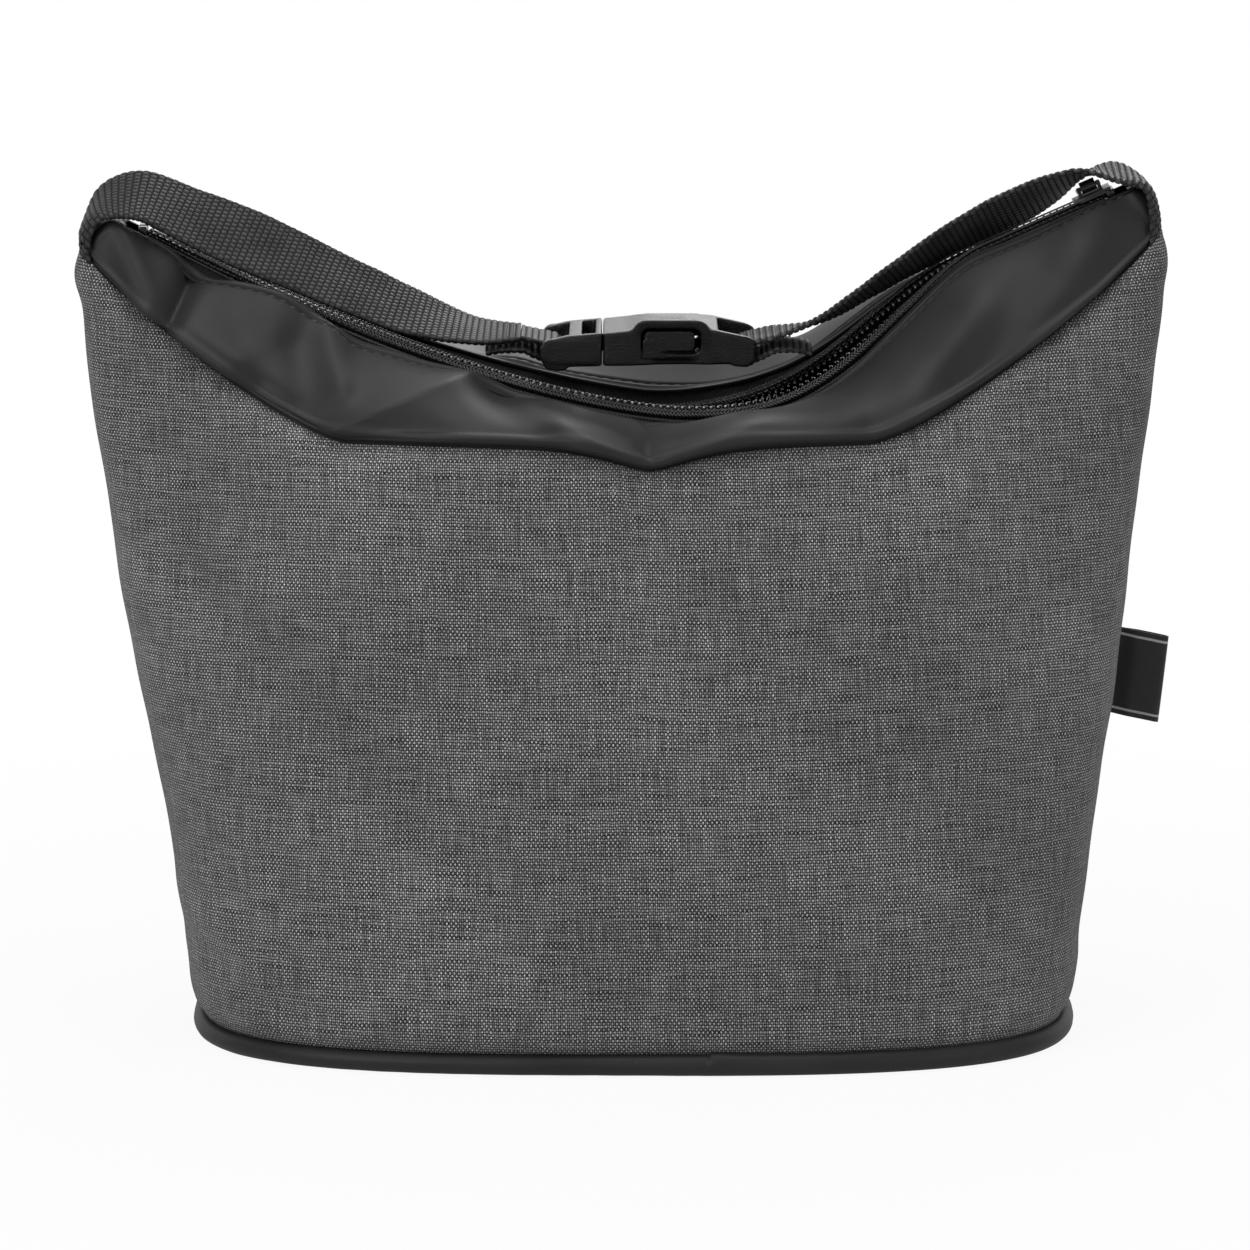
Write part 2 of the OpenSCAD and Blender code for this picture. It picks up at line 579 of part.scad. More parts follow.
// ---- buckle, in a frame with its mouth at x = 0 and its middle at z = 0 ----
module at_buckle() { translate([buckle_x, 0, buckle_height]) children(); }
module side_profile(points, width) {
    rotate([90, 0, 0]) linear_extrude(width, center = true) polygon(points);
}
half_width = buckle_width / 2;
inner_half_width = half_width - socket_wall;
cavity_half_height = 2.5;
window_start = 8.7;
window_end = 22.5;
cavity_end = arm_length + 2.5;
crown_radius = 60;
module socket_plan() {
    l = socket_length;
    waist = half_width - 1.6;
    linear_extrude(30, center = true) polygon([[0.1, -half_width + 0.6], [0.7, -half_width],
        [6, -half_width], [window_start, 0.3 - half_width], [window_start + 4, -waist],
        [window_end - 3, -waist], [window_end + 1, -half_width + 0.6], [l - 5, -half_width + 0.9],
        [l - 1.5, -half_width + 2], [l, -half_width + 4.5],
        [l, half_width - 4.5], [l - 1.5, half_width - 2], [l - 5, half_width - 0.9],
        [window_end + 1, half_width - 0.6], [window_end - 3, waist], [window_start + 4, waist],
        [window_start, half_width - 0.3], [6, half_width], [0.7, half_width], [0.1, half_width - 0.6]]);
}
module buckle_socket() {
    l = socket_length;
    slot = 2 * (half_width - 3);
    color("#1b1b1c") at_buckle() difference() {
        intersection() {
            side_profile([[0.1, -3.7], [0.1, 3.8], [6, 4.4], [9, 5.6], [13, 6], [19, 6],
                [23, 5.2], [27, 4.2], [l - 3, 2.9], [l - 0.8, 1.9], [l, 0.2], [l - 0.6, -2.4],
                [l - 3, -4.2], [l - 6, -3.9], [l - 7, -3.4], [10, -3.6]], buckle_width);
            socket_plan();
            translate([0, 0, 6 - crown_radius]) rotate([0, 90, 0])
                cylinder(r = crown_radius, h = 3 * l, center = true, $fn = 96);
        }
        translate([-1, -inner_half_width, -cavity_half_height])
            cube([cavity_end + 1, 2 * inner_half_width, 2 * cavity_half_height]);
        for (y = [-1, 1]) translate([(window_start + window_end) / 2, y * half_width, 0.6])
            cube([window_end - window_start, 2 * socket_wall + 8, 2 * cavity_half_height + 1.2],
                center = true);
        translate([l - 9.6, -slot / 2, -10]) cube([9.6 - 3 - bar_radius - 1.6, slot, 20]);
        difference() {
            translate([l - 9.6, -slot / 2, -10]) cube([20, slot, 20]);
            translate([l - 3, 0, -bar_drop]) rotate([90, 0, 0])
                cylinder(r = bar_radius, h = slot + 2, center = true, $fn = 40);
            translate([l - 9.7, -slot / 2 - 1, -20]) cube([0.1, slot + 2, 40]);
        }
    }
}

// The plug: a frame with its webbing bar, a flange and a guide tongue
flange_thickness = 1.6;
tongue_half_width = 2.2;
arm_root_x = 1.2;
module buckle_plug() {
    l = plug_length;
    slot = 2 * (half_width - 3);
    color("#1b1b1c") at_buckle() union() {
        difference() {
            side_profile([[-0.1, -3.7], [-0.1, 3.9], [-8, 3.2], [-l + 1.3, 2],
                [-l + 0.2, 0.4], [-l, -1.8], [-l + 1.5, -4.4], [-l + 4.2, -4.9],
                [-l + 6, -4.6], [-l + 6.6, -3.9]], buckle_width);
            translate([-flange_thickness - 3, -slot / 2 - 0.6, -10]) cube([3, slot + 1.2, 20]);
            difference() {
                translate([-l - 5, -slot / 2, -10])
                    cube([5 + l - flange_thickness - 3 - 3, slot, 20]);
                translate([plug_bar_x - buckle_x, 0, -bar_drop]) rotate([90, 0, 0])
                    cylinder(r = bar_radius, h = slot + 2, center = true, $fn = 40);
            }
        }
        translate([-0.2, -tongue_half_width, -1.4])
            cube([arm_length - 1, 2 * tongue_half_width, 2.8]);
    }
}

// A spring arm with its thumb pad, drawn for the front side of the buckle
arm_pivot_y = -(inner_half_width - 2.6);
catch_depth = 0.8;          // how far the pad's shoulder stands behind the socket's wall
module plug_arm() {
    reach = inner_half_width + catch_depth;
    y0 = arm_pivot_y;
    pad_start = window_start + buckle_clearance + 0.1;
    pad_end = window_end - 1.2;
    cavity = cavity_half_height - buckle_clearance;
    translate([0, 0, -cavity]) linear_extrude(2 * cavity)
        polygon([[arm_root_x - 1, y0 - 1], [pad_start, y0 - 0.7], [pad_start, -reach],
            [pad_start + 3, -reach], [pad_end - 5, -inner_half_width], [pad_end, -inner_half_width + 1.2],
            [arm_length, y0 + 1], [arm_length - 1.2, y0 + 2.6], [pad_end - 4, y0 + 1.6],
            [pad_start + 2, y0 + 1], [arm_root_x - 1, y0 + 1]]);
}
module plug_arm_front() { color("#1b1b1c") at_buckle() plug_arm(); }
module plug_arm_back() { color("#1b1b1c") at_buckle() mirror([0, 1, 0]) plug_arm(); }

// ---- side label: a woven ribbon folded into a loop and sewn in the right seam ----
label_thickness = 0.35;
label_gap = 1.6;
label_sag = 0.21;           // fall of the label's edges with distance from the seam
label_lean = 0.11;          // lean of the label with the wall's own slope
module side_label() {
    v = (label_z - wall_foot) / (right_ear_height - wall_foot);
    root = wall_point(v, 180, front);
    r = label_gap / 2 + label_thickness;
    color("#1c1c1d") translate([root.x + 0.35, 0, label_z])
        multmatrix([[1, 0, label_lean, 0], [0, 1, 0, 0], [-label_sag, 0, 1, 0]])
        linear_extrude(label_height, center = true) difference() {
            union() {
                translate([0, -r]) square([label_reach - r, 2 * r]);
                translate([label_reach - r, 0]) circle(r = r, $fn = 32);
            }
            translate([-1, -label_gap / 2]) square([label_reach - r + 1, label_gap]);
            translate([label_reach - r, 0]) circle(r = label_gap / 2, $fn = 32);
        }
}

front_panel();
back_panel();
front_yoke();
back_yoke();
front_foam();
back_foam();
front_lining();
back_lining();
front_yoke_lining();
back_yoke_lining();
base_panel();
base_piping();
base_foam();
base_board();
base_lining();
base_seam_binding();
side_seam_bindings();
front_zip_tape();
back_zip_tape();
front_zip_coil();
back_zip_coil();
zip_stops();
zip_slider();
zip_pull();
strap_left_root();
strap_left_run();
strap_left_loop();
strap_right_root();
strap_right_run();
strap_right_loop();
buckle_socket();
buckle_plug();
plug_arm_front();
plug_arm_back();
side_label();
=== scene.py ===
# Soft insulated lunch bag: sewn walls, coated yokes, open coil zip, webbing handle and buckle.
# Lengths in the dictionaries are millimetres; meshes are written in metres.
import bpy
import bmesh
import numpy as np
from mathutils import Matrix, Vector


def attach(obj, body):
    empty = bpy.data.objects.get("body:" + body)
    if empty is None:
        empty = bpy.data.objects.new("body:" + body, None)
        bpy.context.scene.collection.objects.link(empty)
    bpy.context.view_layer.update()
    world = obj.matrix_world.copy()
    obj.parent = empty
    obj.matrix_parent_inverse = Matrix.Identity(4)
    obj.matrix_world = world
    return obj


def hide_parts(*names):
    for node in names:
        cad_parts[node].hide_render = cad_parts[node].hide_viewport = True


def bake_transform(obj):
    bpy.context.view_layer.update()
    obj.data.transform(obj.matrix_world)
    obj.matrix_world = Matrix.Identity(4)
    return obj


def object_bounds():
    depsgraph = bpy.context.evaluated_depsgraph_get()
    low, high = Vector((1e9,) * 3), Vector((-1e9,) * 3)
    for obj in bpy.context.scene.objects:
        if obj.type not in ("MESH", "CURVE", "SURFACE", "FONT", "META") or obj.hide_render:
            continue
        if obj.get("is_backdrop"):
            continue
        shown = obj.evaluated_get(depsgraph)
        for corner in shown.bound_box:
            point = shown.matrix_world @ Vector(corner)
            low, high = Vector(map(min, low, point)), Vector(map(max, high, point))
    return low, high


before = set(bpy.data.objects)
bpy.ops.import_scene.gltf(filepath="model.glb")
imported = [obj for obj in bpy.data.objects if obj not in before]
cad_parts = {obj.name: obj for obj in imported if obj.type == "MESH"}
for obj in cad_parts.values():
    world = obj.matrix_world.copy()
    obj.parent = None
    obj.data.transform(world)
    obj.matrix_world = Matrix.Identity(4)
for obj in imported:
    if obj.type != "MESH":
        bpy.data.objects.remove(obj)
cadBox = [list(corner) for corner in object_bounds()]
mm = 0.001
print("frame loaded", len(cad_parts), "nodes")

# sizes of the sewn bag, the same as the solid model's
bag = {
    "baseLength": 201, "baseDepth": 122, "baseSquareness": 3.1, "pipingRadius": 2.3,
    "topLength": 249, "topShift": -2.8, "leftEar": 181, "rightEar": 185, "earWidth": 22,
    "seamDepth": 84, "frontSeam": 140, "backSeam": 146, "leftClimb": 62, "rightClimb": 56,
    "notchDepth": 5, "notchX": 3.7, "notchWidth": 13, "belly": 1.2,
    "fabric": 0.8, "foam": 3, "lining": 0.4, "board": 1, "gap": 0.1,
    "mouth": 144.4, "mouthHalf": 11, "backPeak": 4.2, "backPeakX": 52, "backRidge": 7.5,
    "coilWidth": 3, "coilHeight": 2, "coilGap": 1.4, "tape": 0.5, "tapeShow": 4.2,
    "sliderLength": 9, "sliderTravel": 18, "sliderEnd": 8, "sliderMargin": 4,
    "backDrop": 4.5, "webbing": 20, "webbingThick": 1.3, "leftCrest": 10.5, "rightCrest": 12, "strapGap": 0.7,
    "buckleZ": 158, "buckleX": -7, "buckleWidth": 28, "socketLength": 36, "plugLength": 14.3}
front, back = 0, 1
halfTop = bag["topLength"] / 2
pipingZ = bag["pipingRadius"] + 0.3
wallFoot = pipingZ + bag["pipingRadius"] + 0.2


# ---- plain curves and fields ----
def mix(a, b, t):
    return a + (b - a) * t


def smooth(t):  # 0 to 1 with level ends
    t = np.clip(t, 0, 1)
    return t * t * (3 - 2 * t)


def bump(q):  # 1 at 0, falling to 0 at 1
    return np.maximum(0, 1 - q * q) ** 1.5


def hill(q):  # bell curve
    return np.exp(-q * q)


def unit(v):
    return v / np.maximum(np.linalg.norm(v, axis=-1, keepdims=True), 1e-9)


def xyz(x, y, z):
    return np.stack(np.broadcast_arrays(x, y, z), axis=-1).astype(float)


def through(points, t):  # Catmull-Rom curve through the rows of points at places t
    p = np.asarray(points, float)
    i = np.clip(np.floor(t).astype(int), 0, len(p) - 2)
    f = (np.asarray(t) - i)[..., None]
    at = lambda k: p[np.clip(k, 0, len(p) - 1)]
    a, b, c, d = at(i - 1), at(i), at(i + 1), at(i + 2)
    return (2 * b + (c - a) * f + (2 * a - 5 * b + 4 * c - d) * f ** 2
            + (3 * b - a - 3 * c + d) * f ** 3) / 2


def evenly(path, step):  # places along a polyline of points, every step of length
    run = np.concatenate([[0], np.cumsum(np.linalg.norm(np.diff(path, axis=0), axis=1))])
    count = max(2, int(round(run[-1] / step)) + 1)
    want = np.linspace(0, run[-1], count)
    return np.stack([np.interp(want, run, path[:, k]) for k in range(3)], axis=1), want


def ripple(x, y, seed, size):  # soft random field: a dozen plane waves of about that wavelength
    rng = np.random.default_rng(seed)
    total = 0
    for k in range(12):
        a = rng.uniform(0, 2 * np.pi)
        f = 2 * np.pi / (size * rng.uniform(0.6, 1.7))
        total = total + np.sin(f * (x * np.cos(a) + y * np.sin(a)) + rng.uniform(0, 6.3))
    return total / 12 ** 0.5


def crease(x, z, a, b, width, height, sharp=0.0):
    # ridge (or valley, if height is negative) along the line a to b, dying out past its ends
    ax, az, bx, bz = *a, *b
    length = np.hypot(bx - ax, bz - az)
    along = ((x - ax) * (bx - ax) + (z - az) * (bz - az)) / length
    off = ((x - ax) * (bz - az) - (z - az) * (bx - ax)) / length
    end = np.maximum(0, np.maximum(-along, along - length))
    soft = hill(off / width)
    if sharp:
        soft = mix(soft, np.exp(-np.abs(off) / (0.7 * width)), sharp)
    return height * soft * hill(end / (0.45 * length))


# ---- meshes ----
def addMesh(name, verts, faces, uv=None, body=None, flat=False):
    mesh = bpy.data.meshes.new(name)
    mesh.from_pydata((np.asarray(verts).reshape(-1, 3) * mm).tolist(), [], faces)
    mesh.validate()
    if uv is not None:
        corner = np.empty(len(mesh.loops), np.int32)
        mesh.loops.foreach_get("vertex_index", corner)
        layer = mesh.uv_layers.new(name="UVMap")
        layer.data.foreach_set("uv", (np.asarray(uv).reshape(-1, 2)[corner] * mm).ravel())
    mesh.polygons.foreach_set("use_smooth", np.full(len(mesh.polygons), not flat))
    obj = bpy.data.objects.new(name, mesh)
    bpy.context.scene.collection.objects.link(obj)
    if body:
        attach(obj, body)
    return obj


def gridFaces(rows, cols, wrapRows=False, wrapCols=False, start=0, flip=False):
    i = np.arange(rows if wrapRows else rows - 1)[:, None]
    j = np.arange(cols if wrapCols else cols - 1)[None, :]
    i2, j2 = (i + 1) % rows, (j + 1) % cols
    quad = np.stack(np.broadcast_arrays(
        i * cols + j, i * cols + j2, i2 * cols + j2, i2 * cols + j), axis=-1).reshape(-1, 4)
    return (quad[:, ::-1] if flip else quad) + start


def surfaceNormals(g, wrapCols=False):  # unit normals of a grid, pointing outwards
    if wrapCols:
        across = np.roll(g, -1, axis=1) - np.roll(g, 1, axis=1)
    else:
        across = np.gradient(g, axis=1)
    return unit(np.cross(across, np.gradient(g, axis=0)))


def addSheet(name, outer, inner, uv, body, flip=False):
    # closed sheet: an outer grid, an inner grid, and a strip of faces round their rims
    rows, cols = outer.shape[:2]
    n = rows * cols
    edge = np.concatenate([np.arange(cols), np.arange(1, rows) * cols + cols - 1,
                           (rows - 1) * cols + np.arange(cols - 2, -1, -1),
                           np.arange(rows - 2, 0, -1) * cols])
    nxt = np.roll(edge, -1)
    rim = np.stack([edge, edge + n, nxt + n, nxt], axis=1)
    faces = np.concatenate([gridFaces(rows, cols), gridFaces(rows, cols, start=n, flip=True), rim])
    if flip:
        faces = faces[:, ::-1]
    return addMesh(name, np.concatenate([outer.reshape(-1, 3), inner.reshape(-1, 3)]),
                   faces.tolist(), np.concatenate([uv.reshape(-1, 2)] * 2), body)


def addTube(name, rings, uv=None, body=None, closed=False, flip=False):
    # closed tube through rings of points; open ends get a fan of faces
    count, sides = rings.shape[:2]
    faces = gridFaces(count, sides, wrapRows=closed, wrapCols=True, flip=flip).tolist()
    if not closed:
        first, last = list(range(sides)), list(range((count - 1) * sides, count * sides))
        faces += [first[::-1] if not flip else first, last if not flip else last[::-1]]
    return addMesh(name, rings, faces, uv, body)


def pathFrames(path, up=(0, 0, 1), closed=False):  # run, side and top directions along a path
    if closed:
        run = unit(np.roll(path, -1, axis=0) - np.roll(path, 1, axis=0))
    else:
        run = unit(np.gradient(path, axis=0))
    side = unit(np.cross(run, np.asarray(up, float)))
    return run, side, np.cross(side, run)


def joinAll(name, objects, body=None):  # several meshes made one piece
    mesh = bmesh.new()
    for obj in objects:
        mesh.from_mesh(obj.data)
    data = bpy.data.meshes.new(name)
    mesh.to_mesh(data)
    mesh.free()
    for material in objects[0].data.materials:
        data.materials.append(material)
    for obj in objects:
        bpy.data.objects.remove(obj)
    out = bpy.data.objects.new(name, data)
    bpy.context.scene.collection.objects.link(out)
    if body:
        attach(out, body)
    return out


def spreadCopies(rings, places, axes, faces, uvOf=None):
    # the same small shape (points on three axes) set down at every place
    pts = places[:, None, :] + np.einsum("pk,nkx->npx", rings, axes)
    count, size = pts.shape[:2]
    allFaces = (faces[None] + (np.arange(count) * size)[:, None, None]).reshape(-1, faces.shape[1])
    return pts.reshape(-1, 3), allFaces


# ---- the bag's skin: turn runs 0 to pi from the left ear to the right ear, v upwards ----
def signedPower(c, p):
    return np.sign(c) * np.abs(c) ** p


def basePoint(turn, inset=0.0):  # oval of the base, a superellipse
    p = 2 / bag["baseSquareness"]
    return (-(bag["baseLength"] / 2 - inset) * signedPower(np.cos(turn), p),
            -(bag["baseDepth"] / 2 - inset) * signedPower(np.sin(turn), p))


def seamHeight(x, side):  # seam between wall and yoke: level at the middle, climbing to the ears
    off = x - bag["topShift"]
    middle = bag["frontSeam"] if side == front else bag["backSeam"]
    climb = lambda start: (np.maximum(0, np.abs(off) - start) / (halfTop - start)) ** 1.35
    notch = bag["notchDepth"] * np.exp(-np.abs((x - bag["notchX"]) / bag["notchWidth"]) ** 1.5)
    return (middle - (notch if side == front else 0)
            + np.where(off < 0, (bag["leftEar"] - middle) * climb(bag["leftClimb"]),
                       (bag["rightEar"] - middle) * climb(bag["rightClimb"])))


def seamPoint(turn, side):  # plan of the seam: blunt at each ear, swelling to the middle
    s = np.abs(np.sin(turn))
    x = bag["topShift"] - halfTop * np.cos(turn)
    reach = (bag["earWidth"] / 2 * (1 - np.exp(-12 * s))
             + (bag["seamDepth"] - bag["earWidth"]) / 2 * s ** 2.5)
    return xyz(x, -np.sign(np.sin(turn)) * reach, seamHeight(x, side))


def wallSkin(v, turn, side):  # ruled from the base oval to the seam, with a slight belly
    bx, by = basePoint(turn)
    c = seamPoint(turn, side)
    out = bag["belly"] * np.sin(np.pi * v)
    return xyz(mix(bx, c[..., 0], v) - out * np.cos(turn),
               mix(by, c[..., 1], v ** 1.6) - out * np.sin(turn),
               mix(wallFoot, c[..., 2], v))


zipMiddle = bag["topShift"] + 1.3
zipHalf = halfTop - 10
zipLow = zipMiddle + 13
zipSlope = 0.44
zipStraight = bag["sliderEnd"] + bag["sliderTravel"] + bag["sliderLength"] / 2 + bag["sliderMargin"]
zipStraightX = zipMiddle + zipHalf - zipStraight
zipLeftX, zipRightX = zipMiddle - zipHalf, zipMiddle + zipHalf
zipRightZ = bag["rightEar"] + 9.3
zipLeftRise = bag["leftEar"] + 5 - bag["mouth"]
zipStraightZ = zipRightZ - zipSlope * (zipRightX - zipStraightX)
zipHalfGap = (bag["coilGap"] + bag["coilWidth"]) / 2


def zipHeight(x):  # sagging curve from the left, then a straight end for the slider
    left = bag["mouth"] + zipLeftRise * (np.maximum(0, zipLow - x) / (zipLow - zipLeftX)) ** 1.5
    f = np.clip((x - zipLow) / (zipStraightX - zipLow), 0, 1) ** 1.5
    span = zipStraightX - zipLow
    middle = (bag["mouth"] + (zipStraightZ - bag["mouth"]) * (3 * f ** 2 - 2 * f ** 3)
              + zipSlope * span / 1.5 * (f ** 3 - f ** 2))
    return np.where(x < zipLow, left, np.where(
        x < zipStraightX, middle, zipStraightZ + zipSlope * (x - zipStraightX)))


def zipOpen(x):
    return np.where(x < zipLow, bump(np.clip((zipLow - x) / (zipLow - zipLeftX - 8), 0, 1)),
                    bump(np.clip((x - zipLow) / (zipStraightX - zipLow), 0, 1)))


def zipDepth(x):
    return zipHalfGap + (bag["mouthHalf"] - zipHalfGap) * zipOpen(x)


def backPeak(x):
    q = (x - bag["backPeakX"]) / np.where(x < bag["backPeakX"], 50, 26)
    return bag["backPeak"] * bump(np.clip(q, -1, 1))


def zipX(turn):
    return zipMiddle - zipHalf * np.cos(turn)


def coilPoint(turn, side):
    x = zipX(turn)
    drop = bag["backDrop"] * zipOpen(x)
    return xyz(x, -zipDepth(x), zipHeight(x) + (backPeak(x) - drop if side == back else 0))


def edgeWave(x):  # the front yoke's sewn edge dips and bulges left of the mouth
    return (-2.4 * hill((x + 97) / 6) + 2.2 * hill((x + 79) / 8) - 1.0 * hill((x + 62) / 6)
            + 1.6 * hill((x + 36) / 9) - 0.8 * hill((x - 44) / 8) + 0.8 * hill((x - 76) / 9))


def foldPoint(turn, side):  # folded and topstitched edge of the yoke, beside the zip
    x = zipX(turn)
    s = np.abs(np.sin(turn))
    depth = (zipDepth(x) + bag["tapeShow"]) * s ** 0.07
    lift = -2.9 * zipOpen(x) + edgeWave(x) if side == front else backPeak(x)
    return xyz(x, -depth, zipHeight(x) - 0.3 + lift)


strapSlot = bag["webbingThick"] + 2 * bag["strapGap"] + bag["fabric"]


def yokeEdge(turn, side):  # the yoke steps in behind the wall where a strap end passes between
    p = seamPoint(turn, side)
    run = seamPoint(turn + 0.01, side) - seamPoint(turn - 0.01, side)
    inward = unit(xyz(-run[..., 1], run[..., 0], 0))
    step = strapSlot * bump(np.clip((np.abs(p[..., 1]) - bag["webbing"] / 2 + 1) / 8, 0, 1))
    return p + step[..., None] * inward


def yokeSkin(v, turn, side):  # cubic Bezier: up over the seam, then in to the zip's edge
    c, e = yokeEdge(turn, side), foldPoint(turn, side)
    lift = np.sin(turn)[..., None] ** 0.7
    b1 = c + lift * np.array([0, -1.5, 7 if side == front else 17])
    b2 = e + (c - e) * 0.33 + lift * np.array([0, -1, 3])
    if side == back:    # it humps up where the mouth turns up to the right ear
        hump = bag["backRidge"] * bump(np.clip((e[..., 0] - 57) / 21, -1, 1))[..., None]
        b1, b2 = b1 + hump * np.array([0, 0, 1.2]), b2 + hump * np.array([0, 0, 1.0])
    v = v[..., None]
    return (c * (1 - v) ** 3 + 3 * b1 * v * (1 - v) ** 2 + 3 * b2 * v ** 2 * (1 - v) + e * v ** 3)


def flatSizes(g):  # distance along each row from its middle, and up each column, in millimetres
    across = np.linalg.norm(np.diff(g, axis=1), axis=-1)
    u = np.concatenate([np.zeros((len(g), 1)), np.cumsum(across, axis=1)], axis=1)
    mid = g.shape[1] // 2
    u = u - u[:, mid:mid + 1]
    up = np.linalg.norm(np.diff(g, axis=0), axis=-1)
    w = np.concatenate([np.zeros((1, g.shape[1])), np.cumsum(up, axis=0)], axis=0)
    return np.stack([u, w], axis=-1)


def mirrored(g, side):
    return g * np.array([1, -1, 1]) if side == back else g


# ---- materials ----
def linear(code):  # sRGB hex to the linear colour that a shader takes
    c = np.array([int(code[i:i + 2], 16) for i in (1, 3, 5)]) / 255
    c = np.where(c <= 0.04045, c / 12.92, ((c + 0.055) / 1.055) ** 2.4)
    return (*c, 1.0)


def addNode(tree, kind, settings=None, **links):
    # a node with its settings and links; a link's value is a socket, a number or a colour
    node = tree.nodes.new("ShaderNode" + kind)
    for key, value in (settings or {}).items():
        setattr(node, key, value)
    for key, value in links.items():
        socket = node.inputs[int(key[1:]) if key[1:].isdigit() else key.replace("_", " ")]
        if isinstance(value, bpy.types.NodeSocket):
            tree.links.new(value, socket)
        else:
            socket.default_value = value
    return node


def newMaterial(name, base, rough, **fixed):
    # a Principled surface; fixed holds the values set on its own sockets
    material = bpy.data.materials.new(name)
    material.use_nodes = True
    tree = material.node_tree
    shader = tree.nodes["Principled BSDF"]
    shader.inputs["Base Color"].default_value = linear(base)
    shader.inputs["Roughness"].default_value = rough
    for key, value in fixed.items():
        shader.inputs[key.replace("_", " ")].default_value = value
    return material, tree, shader


def calc(tree, operation, a, b=0.0, c=0.0):
    return addNode(tree, "Math", {"operation": operation}, _0=a, _1=b, _2=c).outputs[0]


def toRange(tree, value, low, high, a=0.0, b=1.0):
    return addNode(tree, "MapRange", {}, Value=value, From_Min=a, From_Max=b,
                   To_Min=low, To_Max=high).outputs[0]


def blendColour(tree, factor, a, b, how="MIX"):
    node = addNode(tree, "Mix", {"data_type": "RGBA", "blend_type": how})
    for socket, value in ((node.inputs["Factor"], factor), (node.inputs[6], a), (node.inputs[7], b)):
        if isinstance(value, bpy.types.NodeSocket):
            tree.links.new(value, socket)
        else:
            socket.default_value = value
    return node.outputs[2]


def uvInMillimetres(tree):
    # the piece's own map holds metres along and across the cloth
    place = addNode(tree, "UVMap").outputs["UV"]
    scaled = addNode(tree, "VectorMath", {"operation": "SCALE"}, Vector=place, Scale=1000.0)
    parts = addNode(tree, "SeparateXYZ", {}, Vector=scaled.outputs[0])
    return scaled.outputs[0], parts.outputs[0], parts.outputs[1]


def objectInMillimetres(tree):
    place = addNode(tree, "TexCoord").outputs["Object"]
    return addNode(tree, "VectorMath", {"operation": "SCALE"}, Vector=place,
                   Scale=1000.0).outputs[0]


def noise(tree, vector, scale, detail=2.0, rough=0.5):
    return addNode(tree, "TexNoise", {}, Vector=vector, Scale=scale, Detail=detail,
                   Roughness=rough).outputs[0]


def stretched(tree, vector, x, y, z=1.0):
    return addNode(tree, "VectorMath", {"operation": "MULTIPLY"}, Vector=vector,
                   _1=(x, y, z)).outputs[0]


def bumpFrom(tree, shader, height, depth, strength=1.0):  # depth in millimetres
    node = addNode(tree, "Bump", {}, Height=height, Strength=strength, Distance=depth * mm)
    tree.links.new(node.outputs[0], shader.inputs["Normal"])
    return node


# Heather polyester, plain woven from melange yarn and then backed: matt, with light and dark
# fibres in each yarn, slubs that run along it, and painted shade in the small hollow where yarns cross.
weave = {"warp": 0.495, "weft": 0.66, "light": "#cfcfd0", "dark": "#202021", "middle": "#58585a",
         "pitShade": "#030303", "relief": 0.2}


def wovenPolyester():
    material, tree, shader = newMaterial(
        "heather_woven_polyester", weave["middle"], 0.86, Sheen_Weight=0.12,
        Sheen_Roughness=0.5, Specular_IOR_Level=0.2)
    place, u, v = uvInMillimetres(tree)
    wobble = noise(tree, place, 0.35, 2.0)   # yarns run a little unevenly
    uu = calc(tree, "MULTIPLY_ADD", wobble, 0.5, u)
    vv = calc(tree, "MULTIPLY_ADD", wobble, 0.5, v)
    du = calc(tree, "DIVIDE", uu, weave["warp"])
    dv = calc(tree, "DIVIDE", vv, weave["weft"])
    warpArch = calc(tree, "ABSOLUTE", calc(tree, "SINE", calc(tree, "MULTIPLY", du, np.pi)))
    weftArch = calc(tree, "ABSOLUTE", calc(tree, "SINE", calc(tree, "MULTIPLY", dv, np.pi)))
    # one over one under: the sign of the product says which yarn lies on top
    cross = calc(tree, "MULTIPLY",
                 calc(tree, "SINE", calc(tree, "MULTIPLY", du, np.pi)),
                 calc(tree, "SINE", calc(tree, "MULTIPLY", dv, np.pi)))
    onTop = toRange(tree, cross, 0.0, 1.0, -0.12, 0.12)
    height = calc(tree, "MULTIPLY", warpArch, weftArch)
    # each yarn has its own shade, and slubs along it
    warpSlub = noise(tree, stretched(tree, place, 1 / weave["warp"], 0.10), 0.9, 3.0, 0.65)
    weftSlub = noise(tree, stretched(tree, place, 0.10, 1 / weave["weft"]), 0.9, 3.0, 0.65)
    fibre = noise(tree, place, 3.1, 3.0, 0.7)
    # the warp is the light yarn, the weft the dark one; both wander in shade
    warpShade = toRange(tree, warpSlub, 0.25, 1.0, 0.34, 0.68)
    weftShade = toRange(tree, weftSlub, 0.0, 0.42, 0.34, 0.68)
    shade = addNode(tree, "Mix", {"data_type": "FLOAT"}, Factor=onTop, A=weftShade,
                    B=warpShade).outputs[0]
    shade = calc(tree, "MULTIPLY", shade, toRange(tree, fibre, 0.6, 1.35, 0.3, 0.7))
    colour = blendColour(tree, shade, linear(weave["dark"]), linear(weave["light"]))
    # painted shade: the colour darkens towards near black in the hollows between the yarn crowns
    crown = toRange(tree, height, 0.0, 1.0, 0.12, 0.62)
    colour = blendColour(tree, crown, linear(weave["pitShade"]), colour)
    patches = toRange(tree, noise(tree, place, 0.018, 2.0), 0.86, 1.14, 0.35, 0.65)
    colour = blendColour(tree, 1.0, colour, addNode(
        tree, "CombineXYZ", {}, X=patches, Y=patches, Z=patches).outputs[0], "MULTIPLY")
    tree.links.new(colour, shader.inputs["Base Color"])
    relief = calc(tree, "MULTIPLY_ADD", fibre, 0.35, height)
    bumpFrom(tree, shader, relief, weave["relief"], 0.9)
    return material


